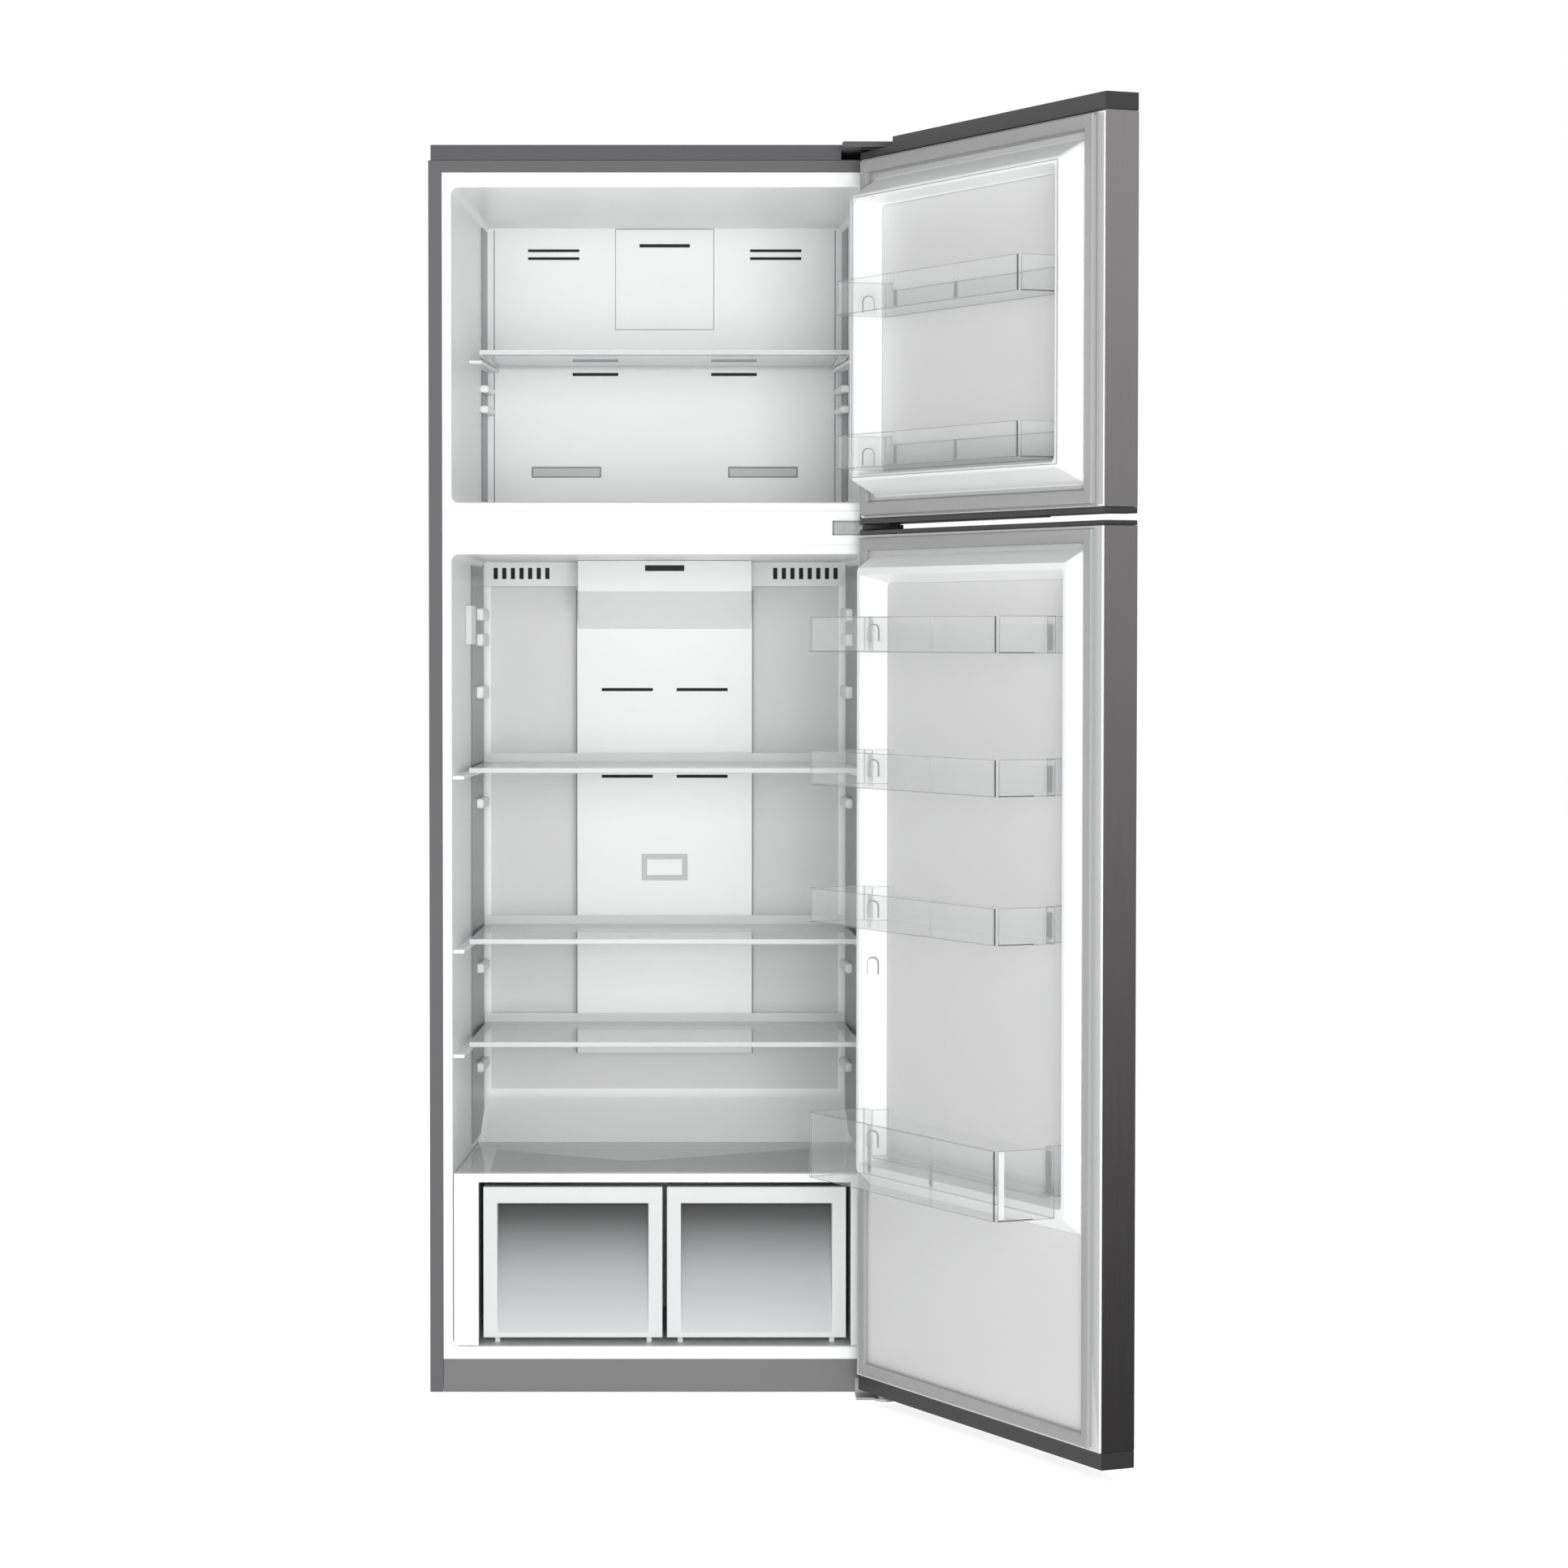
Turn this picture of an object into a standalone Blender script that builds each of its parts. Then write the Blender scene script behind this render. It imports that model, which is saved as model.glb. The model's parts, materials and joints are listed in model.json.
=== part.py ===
"""Top freezer refrigerator: cabinet, two right-hinged doors, shelves, drawers and cooling parts.

Metres, +Z up. X runs across the cabinet, Y from front to back. The origin is the centre of the
cabinet's footprint, on the underside of the base plate's centre pad. The doors stand open.
"""

import math

import bmesh
import bpy
from mathutils import Matrix, Vector

# Cabinet
CABINET_WIDTH = 0.702
CABINET_DEPTH = 0.635
SHELL_TOP = 1.837
COVER_HEIGHT = 0.0228
COVER_INSET = 0.0035
COVER_DEPTH = 0.120
SHEET = 0.0008
GAP = 0.0003
SIDE_FLANGE = 0.020
TOP_FLANGE = 0.018
PLINTH_HEIGHT = 0.0495
PLINTH_DEPTH = 0.018

# Compartments
LINER_WALL = 0.0015
OPENING_INSET = 0.034
FREEZER_TOP_BAND = 0.039
FREEZER_HEIGHT = 0.4675
FREEZER_DEPTH = 0.575
FREEZER_SIDE_TAPER = 0.037
FREEZER_CEILING_DROP = 0.018
FREEZER_FLOOR_RISE = 0.0095
MULLION_HEIGHT = 0.0497
MULLION_LAND = 0.0130
FRIDGE_LAND = 0.0145
FRIDGE_FLOOR = 0.0688
FRIDGE_FLOOR_RISE = 0.006
FRIDGE_DEPTH = 0.535
FRIDGE_SIDE_TAPER = 0.027
HUMP_DEPTH = 0.360
HUMP_FRONT_TOP = 0.290
HUMP_REAR_TOP = 0.390
BAY_INSULATION = 0.045
BAY_FRONT_TOP = 0.250
BAY_REAR_TOP = 0.381
PANEL_SETBACK = 0.500

# Shelves, crisper and drawers
GLASS = 0.004
SHELF_RAIL = 0.003
SHELF_SETBACK = 0.130
SHELF_STATIONS = (0.6466, 0.3650, 0.1953)
FREEZER_SHELF_STATION = 0.491
SHELF_FRONT_TRIM = 0.014
SHELF_REAR_LIP = 0.0175
LEDGE_HEIGHT = 0.006
LEDGE_WIDTH = 0.016
CRISPER_TOP = 0.3276
CRISPER_RAIL = 0.0128
CRISPER_DEPTH = 0.406
DRAWER_DEPTH = 0.335
DRAWER_FLOOR = 0.0803
DRAWER_TOP = 0.3069
DRAWER_RIM = 0.0245
DRAWER_WALL = 0.0025
DRAWER_DIVIDER = 0.0068
DRAWER_SETBACK = 0.010

# Doors
DOOR_THICKNESS = 0.0515
DOOR_STANDOFF = 0.012
DOOR_OPEN_DEGREES = 115.2
DOOR_OVER_SHELL = 0.021
DOOR_GAP = 0.0091
LOWER_DOOR_BOTTOM = 0.010
HINGE_SIDE_INSET = 0.023
HINGE_FORWARD = 0.045
PIN_RADIUS = 0.004
PIN_CLEARANCE = 0.0003
BIG_CAP = 0.024
UPPER_FOOT_CAP = 0.0084
LOWER_HEAD_CAP = 0.0070
NOTCH_LENGTH = 0.100
NOTCH_DEPTH = 0.014
GASKET_INSET = 0.0165
GASKET_WIDTH = 0.024
GASKET_CHAMFER = 0.003
GASKET_LIP = 0.0006
RIDGE_INSET = 0.042
BIN_WALL = 0.0025

# Underside
FOOT_DROP = 0.008
FOOT_RADIUS = 0.018
FOOT_SETBACK = 0.085
FOOT_INSET = 0.051
ROLLER_RADIUS = 0.0165
ROLLER_WIDTH = 0.018
ROLLER_FROM_BACK = 0.048
ROLLER_INSET = 0.061

HALF = CABINET_WIDTH / 2
FRONT = -CABINET_DEPTH / 2
BACK = CABINET_DEPTH / 2
INNER_HALF = HALF - SHEET - GAP
OPENING_HALF = HALF - OPENING_INSET
FLANGE_HALF = HALF - SIDE_FLANGE - GAP

FREEZER_TOP = SHELL_TOP - FREEZER_TOP_BAND
FREEZER_FLOOR = FREEZER_TOP - FREEZER_HEIGHT
MULLION_TOP = FREEZER_FLOOR - MULLION_LAND
MULLION_BOTTOM = MULLION_TOP - MULLION_HEIGHT
FRIDGE_TOP = MULLION_BOTTOM - FRIDGE_LAND
FRIDGE_CEILING_REAR = FRIDGE_TOP - 0.0031

DOOR_INNER = FRONT - DOOR_STANDOFF
DOOR_OUTER = DOOR_INNER - DOOR_THICKNESS
HINGE_AXIS = Vector((HALF - HINGE_SIDE_INSET, FRONT - HINGE_FORWARD, 0))
UPPER_DOOR_TOP = SHELL_TOP + DOOR_OVER_SHELL
UPPER_DOOR_BOTTOM = (MULLION_TOP + MULLION_BOTTOM) / 2 - 0.0006 + DOOR_GAP / 2
LOWER_DOOR_TOP = UPPER_DOOR_BOTTOM - DOOR_GAP

FINISHES = {
    "side_steel": ((0.141, 0.141, 0.144), 0.45, 0.4),
    "door_steel": ((0.180, 0.175, 0.178), 0.35, 0.9),
    "white_plastic": ((0.82, 0.83, 0.84), 0.35, 0.0),
    "grey_plastic": ((0.20, 0.20, 0.205), 0.5, 0.0),
    "dark_plastic": ((0.028, 0.028, 0.030), 0.5, 0.0),
    "gasket_rubber": ((0.30, 0.30, 0.30), 0.8, 0.0),
    "clear_plastic": ((0.85, 0.87, 0.88), 0.1, 0.0),
    "shelf_glass": ((0.80, 0.86, 0.85), 0.05, 0.0),
    "foam": ((0.80, 0.70, 0.42), 0.9, 0.0),
    "zinc_steel": ((0.45, 0.46, 0.47), 0.4, 0.9),
    "aluminium": ((0.70, 0.71, 0.72), 0.35, 1.0),
    "black_steel": ((0.02, 0.02, 0.022), 0.45, 0.5),
}


def clear_scene():
    for obj in list(bpy.data.objects):
        bpy.data.objects.remove(obj)


def finish_material(name):
    """The material of one finish, made the first time that it is asked for."""
    material = bpy.data.materials.get(name)
    if material is None:
        colour, roughness, metallic = FINISHES[name]
        material = bpy.data.materials.new(name)
        material.use_nodes = True
        shader = material.node_tree.nodes["Principled BSDF"]
        shader.inputs["Base Color"].default_value = (*colour, 1)
        shader.inputs["Roughness"].default_value = roughness
        shader.inputs["Metallic"].default_value = metallic
    return material


def as_object(shape):
    """A linked object made from a bmesh, with its faces pointing out."""
    bmesh.ops.recalc_face_normals(shape, faces=shape.faces)
    mesh = bpy.data.meshes.new("piece")
    shape.to_mesh(mesh)
    shape.free()
    obj = bpy.data.objects.new("piece", mesh)
    bpy.context.scene.collection.objects.link(obj)
    return obj


def box(low, high):
    """A box between two corners."""
    shape = bmesh.new()
    bmesh.ops.create_cube(shape, size=1)
    low, high = Vector(low), Vector(high)
    bmesh.ops.scale(shape, vec=high - low, verts=shape.verts)
    bmesh.ops.translate(shape, vec=(low + high) / 2, verts=shape.verts)
    return as_object(shape)


def centred_box(half, y, z):
    """A box symmetric about X = 0, from its half width and its Y and Z ranges."""
    return box((-half, y[0], z[0]), (half, y[1], z[1]))


def prism(outline, axis, low, high):
    """An outline extruded along an axis. Its points are the other two coordinates, in order."""
    shape = bmesh.new()
    corners = []
    for first, second in outline:
        point = [first, second]
        point.insert("XYZ".index(axis), low)
        corners.append(shape.verts.new(point))
    face = shape.faces.new(corners)
    moved = bmesh.ops.extrude_face_region(shape, geom=[face])["geom"]
    step = Vector((0, 0, 0))
    step["XYZ".index(axis)] = high - low
    bmesh.ops.translate(shape, vec=step, verts=[v for v in moved if isinstance(v, bmesh.types.BMVert)])
    return as_object(shape)


def cylinder(radius, axis, centre, low, high, sides=24):
    """A cylinder along an axis through a centre, between two values on that axis."""
    shape = bmesh.new()
    bmesh.ops.create_cone(
        shape, cap_ends=True, segments=sides, radius1=radius, radius2=radius, depth=high - low
    )
    turn = {"X": Matrix.Rotation(math.pi / 2, 3, "Y"), "Y": Matrix.Rotation(math.pi / 2, 3, "X")}
    if axis in turn:
        bmesh.ops.rotate(shape, cent=(0, 0, 0), matrix=turn[axis], verts=shape.verts)
    middle = Vector(centre)
    middle["XYZ".index(axis)] = (low + high) / 2
    bmesh.ops.translate(shape, vec=middle, verts=shape.verts)
    return as_object(shape)


def turned(profile, centre, sides=20):
    """A solid turned about a vertical axis from (radius, height) points that start and end on it."""
    shape = bmesh.new()
    points = [shape.verts.new((radius, 0, height)) for radius, height in profile]
    edges = [shape.edges.new(pair) for pair in zip(points, points[1:])]
    bmesh.ops.spin(
        shape, geom=points + edges, cent=(0, 0, 0), axis=(0, 0, 1), angle=2 * math.pi, steps=sides
    )
    bmesh.ops.remove_doubles(shape, verts=shape.verts, dist=0.00001)
    bmesh.ops.translate(shape, vec=centre, verts=shape.verts)
    return as_object(shape)


def across(profile, half_at):
    """A (Y, Z) profile carried across the cabinet, whose half width depends on Y."""
    shape = bmesh.new()
    left = [shape.verts.new((-half_at(y), y, z)) for y, z in profile]
    right = [shape.verts.new((half_at(y), y, z)) for y, z in profile]
    shape.faces.new(left)
    shape.faces.new(right)
    for i in range(len(profile)):
        j = (i + 1) % len(profile)
        shape.faces.new((left[i], left[j], right[j], right[i]))
    return as_object(shape)


def boolean(body, tools, operation):
    """One node's mesh after each tool is joined to it or cut from it."""
    for tool in tools:
        step = body.modifiers.new("step", "BOOLEAN")
        step.operation = operation
        step.solver = "EXACT"
        step.object = tool
    graph = bpy.context.evaluated_depsgraph_get()
    mesh = bpy.data.meshes.new_from_object(body.evaluated_get(graph))
    body.modifiers.clear()
    body.data = mesh
    for tool in tools:
        bpy.data.objects.remove(tool)


def node(name, finish, body, add=(), cut=(), origin=None):
    """A finished node: its solids joined, its cuts taken, named, dressed and given an origin."""
    if add:
        boolean(body, add, "UNION")
    if cut:
        boolean(body, cut, "DIFFERENCE")
    body.name = name
    body.data.name = name
    body.data.materials.clear()
    body.data.materials.append(finish_material(finish))
    if origin is not None:
        body.data.transform(Matrix.Translation(-Vector(origin)))
        body.location = origin
    return body


def smooth(obj):
    obj.data.shade_smooth()
    obj.data.set_sharp_from_angle(angle=math.radians(35))
    return obj


def offset_path(points, distance):
    """An open path moved sideways to its left, with its corners mitred."""
    sides = []
    for (y0, z0), (y1, z1) in zip(points, points[1:]):
        length = math.hypot(y1 - y0, z1 - z0)
        sides.append(((z0 - z1) / length, (y1 - y0) / length))
    moved = []
    for i, (y, z) in enumerate(points):
        first = sides[max(i - 1, 0)]
        second = sides[min(i, len(sides) - 1)]
        scale = distance / (1 + first[0] * second[0] + first[1] * second[1])
        moved.append((y + (first[0] + second[0]) * scale, z + (first[1] + second[1]) * scale))
    return moved


def start_at(points, y):
    """The path with its first and last points slid along their segments to this Y."""

    def slide(end, inner):
        return y, end[1] + (inner[1] - end[1]) * (y - end[0]) / (inner[0] - end[0])

    return [slide(points[0], points[1]), *points[1:-1], slide(points[-1], points[-2])]


# ---------------------------------------------------------------- compartments


def freezer_half(y):
    return OPENING_HALF - FREEZER_SIDE_TAPER * (y - FRONT) / FREEZER_DEPTH


def fridge_half(y):
    return OPENING_HALF - FRIDGE_SIDE_TAPER * (y - FRONT) / FRIDGE_DEPTH


FREEZER_PATH = [
    (FRONT, FREEZER_FLOOR),
    (FRONT + FREEZER_DEPTH, FREEZER_FLOOR + FREEZER_FLOOR_RISE),
    (FRONT + FREEZER_DEPTH, FREEZER_TOP - FREEZER_CEILING_DROP),
    (FRONT, FREEZER_TOP),
]
FRIDGE_PATH = [
    (FRONT, FRIDGE_FLOOR),
    (FRONT + HUMP_DEPTH, FRIDGE_FLOOR + FRIDGE_FLOOR_RISE),
    (FRONT + HUMP_DEPTH, HUMP_FRONT_TOP),
    (FRONT + FRIDGE_DEPTH, HUMP_REAR_TOP),
    (FRONT + FRIDGE_DEPTH, FRIDGE_CEILING_REAR),
    (FRONT, FRIDGE_TOP),
]


def cavity(path, half_at, grow, start):
    """A compartment's space, grown on every side but the front, from this Y back."""
    profile = start_at(offset_path(path, -grow), start)
    return across(profile, lambda y: half_at(y) + grow)


def freezer_ceiling(y):
    return FREEZER_TOP - FREEZER_CEILING_DROP * (y - FRONT) / FREEZER_DEPTH


def freezer_floor(y):
    return FREEZER_FLOOR + FREEZER_FLOOR_RISE * (y - FRONT) / FREEZER_DEPTH


def fridge_ceiling(y):
    return FRIDGE_TOP - (FRIDGE_TOP - FRIDGE_CEILING_REAR) * (y - FRONT) / FRIDGE_DEPTH


SHELF_HEIGHTS = [CRISPER_TOP + s * (FRIDGE_TOP - CRISPER_TOP) for s in SHELF_STATIONS]
FREEZER_SHELF = FREEZER_FLOOR + FREEZER_SHELF_STATION * FREEZER_HEIGHT
PANEL_FACE = FRONT + PANEL_SETBACK
LEDGE_START = FRONT + 0.020
FREEZER_LEDGE_START = FRONT + 0.250
LEDGE_END = PANEL_FACE - 0.002
FREEZER_SHELF_HALF = freezer_half(PANEL_FACE) - 0.0045
SHELF_REAR_HALF = fridge_half(PANEL_FACE) - 0.0035
SHELF_FRONT_HALF = SHELF_REAR_HALF + 0.009


def ledge(side, half_at, inner_at, start, height):
    """A moulded ledge on a side wall, its outer edge half way into the wall."""
    into = LINER_WALL / 2
    outline = [
        (side * (half_at(start) + into), start),
        (side * (half_at(LEDGE_END) + into), LEDGE_END),
        (side * inner_at(LEDGE_END), LEDGE_END),
        (side * inner_at(start), start),
    ]
    return prism(outline, "Z", height - LEDGE_HEIGHT, height)


def freezer_liner():
    flange = centred_box(
        FLANGE_HALF, (FRONT, FRONT + LINER_WALL), (MULLION_TOP + GAP, SHELL_TOP - TOP_FLANGE - GAP)
    )
    tub = cavity(FREEZER_PATH, freezer_half, LINER_WALL, FRONT + LINER_WALL / 2)
    space = cavity(FREEZER_PATH, freezer_half, 0, FRONT - 0.01)
    liner = node("freezer_liner", "white_plastic", tub, [flange], [space])
    seat = FREEZER_SHELF - SHELF_RAIL - GAP
    ledges = [
        ledge(side, freezer_half, lambda y: FREEZER_SHELF_HALF - 0.018, FREEZER_LEDGE_START, seat)
        for side in (-1, 1)
    ]
    boolean(liner, ledges, "UNION")


def drawer_spans():
    """The X range of each drawer, left then right."""
    edge = fridge_half(FRONT + DRAWER_SETBACK) - 0.0448
    return (-edge, -DRAWER_DIVIDER / 2), (DRAWER_DIVIDER / 2, edge)


def fridge_floor(y):
    return FRIDGE_FLOOR + FRIDGE_FLOOR_RISE * (y - FRONT) / HUMP_DEPTH


def runner(x):
    """A rib on the floor that a drawer slides on."""
    start, end = FRONT + 0.040, FRONT + HUMP_DEPTH - 0.020
    into, top = LINER_WALL / 2, DRAWER_FLOOR - GAP
    outline = [
        (start, fridge_floor(start) - into), (end, fridge_floor(end) - into), (end, top), (start, top),
    ]
    return prism(outline, "X", x - 0.004, x + 0.004)


def fridge_liner():
    flange = centred_box(
        FLANGE_HALF, (FRONT, FRONT + LINER_WALL), (PLINTH_HEIGHT + GAP, MULLION_BOTTOM - GAP)
    )
    tub = cavity(FRIDGE_PATH, fridge_half, LINER_WALL, FRONT + LINER_WALL / 2)
    space = cavity(FRIDGE_PATH, fridge_half, 0, FRONT - 0.01)
    liner = node("fridge_liner", "white_plastic", tub, [flange], [space])
    added = []
    for height in SHELF_HEIGHTS:
        for side in (-1, 1):
            seat = height - SHELF_RAIL - GAP
            added.append(
                ledge(side, fridge_half, lambda y: fridge_half(y) - LEDGE_WIDTH, LEDGE_START, seat)
            )
    for low, high in drawer_spans():
        for x in (low + 0.020, high - 0.020):
            added.append(runner(x))
    boolean(liner, added, "UNION")


# ---------------------------------------------------------------- cabinet

BAY_Y = FRONT + HUMP_DEPTH + BAY_INSULATION
BASE_LEVEL = 0.002
BASE_PATH = [
    (FRONT + PLINTH_DEPTH + GAP, BASE_LEVEL),
    (BAY_Y, BASE_LEVEL),
    (BAY_Y, BAY_FRONT_TOP),
    (BACK - SHEET - GAP, BAY_REAR_TOP),
]
FOOT_PLACES = [(side * (HALF - FOOT_INSET), FRONT + FOOT_SETBACK) for side in (-1, 1)]
STEM_RADIUS = 0.005


def cabinet_shell():
    outer = centred_box(HALF, (FRONT, BACK), (0, SHELL_TOP))
    inside = centred_box(HALF - SHEET, (FRONT + SHEET, BACK + 0.01), (-0.01, SHELL_TOP - SHEET))
    heights = (-0.02, SHELL_TOP - TOP_FLANGE)
    mouth = centred_box(HALF - SIDE_FLANGE, (FRONT - 0.01, FRONT + 0.01), heights)
    node("cabinet_shell", "side_steel", outer, (), [inside, mouth])


def back_panel():
    heights = (BAY_REAR_TOP + 0.003, SHELL_TOP - SHEET - GAP)
    sheet = centred_box(INNER_HALF, (BACK - SHEET, BACK), heights)
    node("back_panel", "zinc_steel", sheet)


def base_plate():
    """The folded sheet under the foam: the floor, the wall and the roof of the compressor bay."""
    path = BASE_PATH + offset_path(BASE_PATH, SHEET)[::-1]
    plate = prism(path, "X", -INNER_HALF, INNER_HALF)
    pad = centred_box(HALF - 0.101, (FRONT + 0.06, BAY_Y - 0.02), (0, BASE_LEVEL + SHEET / 2))
    holes = [
        cylinder(STEM_RADIUS + GAP, "Z", (x, y, 0), -0.01, 0.02, 16) for x, y in FOOT_PLACES
    ]
    node("base_plate", "zinc_steel", plate, [pad], holes)


def insulation():
    top = SHELL_TOP - SHEET - GAP
    front = FRONT + LINER_WALL + GAP
    under = offset_path(BASE_PATH, SHEET + GAP)
    under[0] = (FRONT + PLINTH_DEPTH + GAP, under[0][1])
    rear = BACK - SHEET - GAP
    under[-1] = (rear, under[-1][1])
    outline = under + [
        (rear, top),
        (front, top),
        (front, PLINTH_HEIGHT + GAP),
        (FRONT + PLINTH_DEPTH + GAP, PLINTH_HEIGHT + GAP),
    ]
    block = prism(outline, "X", -INNER_HALF, INNER_HALF)
    grow = LINER_WALL + GAP
    cuts = [
        cavity(FREEZER_PATH, freezer_half, grow, FRONT - 0.01),
        cavity(FRIDGE_PATH, fridge_half, grow, FRONT - 0.01),
    ]
    cuts += [
        cylinder(STEM_RADIUS + 0.002, "Z", (x, y, 0), -0.01, 0.022, 12) for x, y in FOOT_PLACES
    ]
    node("cabinet_foam", "foam", block, (), cuts)


def plinth():
    bar = centred_box(FLANGE_HALF, (FRONT, FRONT + PLINTH_DEPTH), (0, PLINTH_HEIGHT))
    channel = centred_box(
        FLANGE_HALF - 0.002, (FRONT + 0.002, FRONT + 0.05), (0.002, PLINTH_HEIGHT - 0.002)
    )
    node("plinth", "grey_plastic", bar, (), [channel])


def mullion_cover():
    strip = centred_box(FLANGE_HALF, (FRONT, FRONT + LINER_WALL), (MULLION_BOTTOM, MULLION_TOP))
    node("mullion_cover", "white_plastic", strip)


COVER_HALF = HALF - COVER_INSET
HINGE_PLATE = (HALF - 0.061, HALF - 0.006)
ARM_LOW = SHELL_TOP + 0.0085
ARM_HIGH = ARM_LOW + 0.004


def top_cover():
    """The front strip on the roof, with a lobe over the top hinge and a pocket for it."""
    low = SHELL_TOP + GAP
    high = SHELL_TOP + COVER_HEIGHT
    strip = centred_box(COVER_HALF, (FRONT, FRONT + COVER_DEPTH), (low, high))
    lobe_left = HINGE_PLATE[0] - 0.028
    lobe = box(
        (lobe_left, HINGE_AXIS.y - 0.0155, ARM_HIGH + GAP), (COVER_HALF, FRONT + 0.02, high - 0.0015)
    )
    hollow = box(
        (-COVER_HALF + 0.002, FRONT + 0.002, low - 0.01),
        (lobe_left - 0.002, FRONT + COVER_DEPTH - 0.002, high - 0.002),
    )
    pocket = box(
        (lobe_left, FRONT - 0.1, low - 0.01), (COVER_HALF - 0.002, FRONT + 0.105, ARM_HIGH + GAP)
    )
    node("top_cover", "side_steel", strip, [lobe], [hollow, pocket])


# ---------------------------------------------------------------- hinges


def top_hinge():
    low = SHELL_TOP + GAP
    reach = HINGE_AXIS.y - 0.012
    outline = [
        (FRONT + 0.095, low),
        (FRONT + 0.095, low + 0.004),
        (FRONT + 0.014, low + 0.004),
        (FRONT + 0.014, ARM_HIGH),
        (reach, ARM_HIGH),
        (reach, ARM_LOW),
        (FRONT + 0.010, ARM_LOW),
        (FRONT + 0.010, low),
    ]
    plate = prism(outline, "X", *HINGE_PLATE)
    pin = cylinder(PIN_RADIUS, "Z", HINGE_AXIS, UPPER_DOOR_TOP - 0.0215, ARM_LOW + 0.002, 16)
    node("top_hinge", "zinc_steel", plate, [pin])


def middle_hinge():
    middle = LOWER_DOOR_TOP + DOOR_GAP / 2
    leaf = box(
        (HALF - 0.100, FRONT - 0.0033, middle - 0.0075), (HALF - 0.011, FRONT - GAP, middle + 0.0085)
    )
    tongue = box(
        (HALF - 0.061, HINGE_AXIS.y, middle - 0.0025), (HALF - 0.006, FRONT - 0.001, middle + 0.0025)
    )
    eye = cylinder(0.0165, "Z", HINGE_AXIS, middle - 0.0025, middle + 0.0025, 24)
    pin = cylinder(PIN_RADIUS, "Z", HINGE_AXIS, middle - 0.0095, middle + 0.0095, 16)
    node("middle_hinge", "zinc_steel", leaf, [tongue, eye, pin])


def lower_hinge():
    low, high = -0.0045, -0.0005
    leaf = box((HALF - 0.066, FRONT - 0.0033, low), (HALF - 0.006, FRONT - GAP, 0.022))
    plate = box((HALF - 0.066, HINGE_AXIS.y, low), (HALF - 0.006, FRONT + 0.055, high))
    eye = cylinder(0.0165, "Z", HINGE_AXIS, low, high, 24)
    collar = cylinder(0.011, "Z", HINGE_AXIS, low + 0.001, LOWER_DOOR_BOTTOM - GAP, 20)
    pin = cylinder(PIN_RADIUS, "Z", HINGE_AXIS, low + 0.001, LOWER_DOOR_BOTTOM + 0.014, 16)
    node("lower_hinge", "zinc_steel", leaf, [plate, eye, collar, pin])


# ---------------------------------------------------------------- cold side


def slots(places, half, height, low_y, high_y):
    """Boxes for slots in a sheet across the cabinet, one for each (centre X, centre Z)."""
    return [
        box((x - half, low_y, z - height / 2), (x + half, high_y, z + height / 2)) for x, z in places
    ]


def evaporator_cover():
    """The freezer's rear panel, with its air slots and a raised square over the fan."""
    rear = PANEL_FACE + LINER_WALL + 0.001
    half = freezer_half(rear) - GAP
    top = freezer_ceiling(rear) - GAP
    sheet = centred_box(half, (PANEL_FACE, rear), (freezer_floor(rear) + GAP, top))
    raised = (PANEL_FACE - 0.0012, PANEL_FACE + 0.001)
    fan_panel = centred_box(0.078, raised, (top - 0.161, top - 0.0022))
    through = (PANEL_FACE - 0.01, rear + 0.01)
    recess = (PANEL_FACE - 0.01, PANEL_FACE + 0.0012)
    cuts = slots([(0, top - 0.028)], 0.0402, 0.0053, *through)
    for drop in (0.0358, 0.0483):
        cuts += slots([(s * (half - 0.107), top - drop) for s in (-1, 1)], 0.041, 0.0044, *through)
    below = FREEZER_SHELF - 0.011
    cuts += slots([(s * 0.1108, below) for s in (-1, 1)], 0.0365, 0.0048, *through)
    low = FREEZER_FLOOR + 0.063
    cuts += slots([(s * (half - 0.127), low) for s in (-1, 1)], 0.0555, 0.017, *recess)
    node("evaporator_cover", "white_plastic", sheet, [fan_panel], cuts)


FAN_HEIGHT = FREEZER_TOP - 0.103
FAN_Y = PANEL_FACE + 0.020
LINER_REAR = FRONT + FREEZER_DEPTH


def evaporator():
    """A finned coil block between two end plates that stand off the liner's rear wall."""
    half = freezer_half(LINER_REAR) - 0.055
    top = FAN_HEIGHT - 0.075
    y = (PANEL_FACE + 0.012, LINER_REAR - 0.009)
    block = centred_box(half, y, (top - 0.180, top))
    ends = [
        box((x - 0.001, y[0] - 0.003, top - 0.186), (x + 0.001, LINER_REAR - GAP, top + 0.006))
        for x in (-half, half)
    ]
    grooves = []
    count = 12
    for i in range(count):
        x = -half + (i + 0.5) * 2 * half / count
        grooves.append(box((x - 0.010, y[0] - 0.01, top - 0.2), (x + 0.010, y[0] + 0.022, top + 0.02)))
    node("evaporator", "aluminium", block, ends, grooves)


def fan_motor():
    centre = (0, 0, FAN_HEIGHT)
    can = cylinder(0.022, "Y", centre, FAN_Y + 0.0115, LINER_REAR - 0.016, 20)
    bar = centred_box(
        0.06, (LINER_REAR - 0.019, LINER_REAR - GAP), (FAN_HEIGHT - 0.009, FAN_HEIGHT + 0.009)
    )
    shaft = cylinder(0.0022, "Y", centre, FAN_Y, FAN_Y + 0.013, 12)
    smooth(node("fan_motor", "dark_plastic", can, [bar, shaft]))


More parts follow.
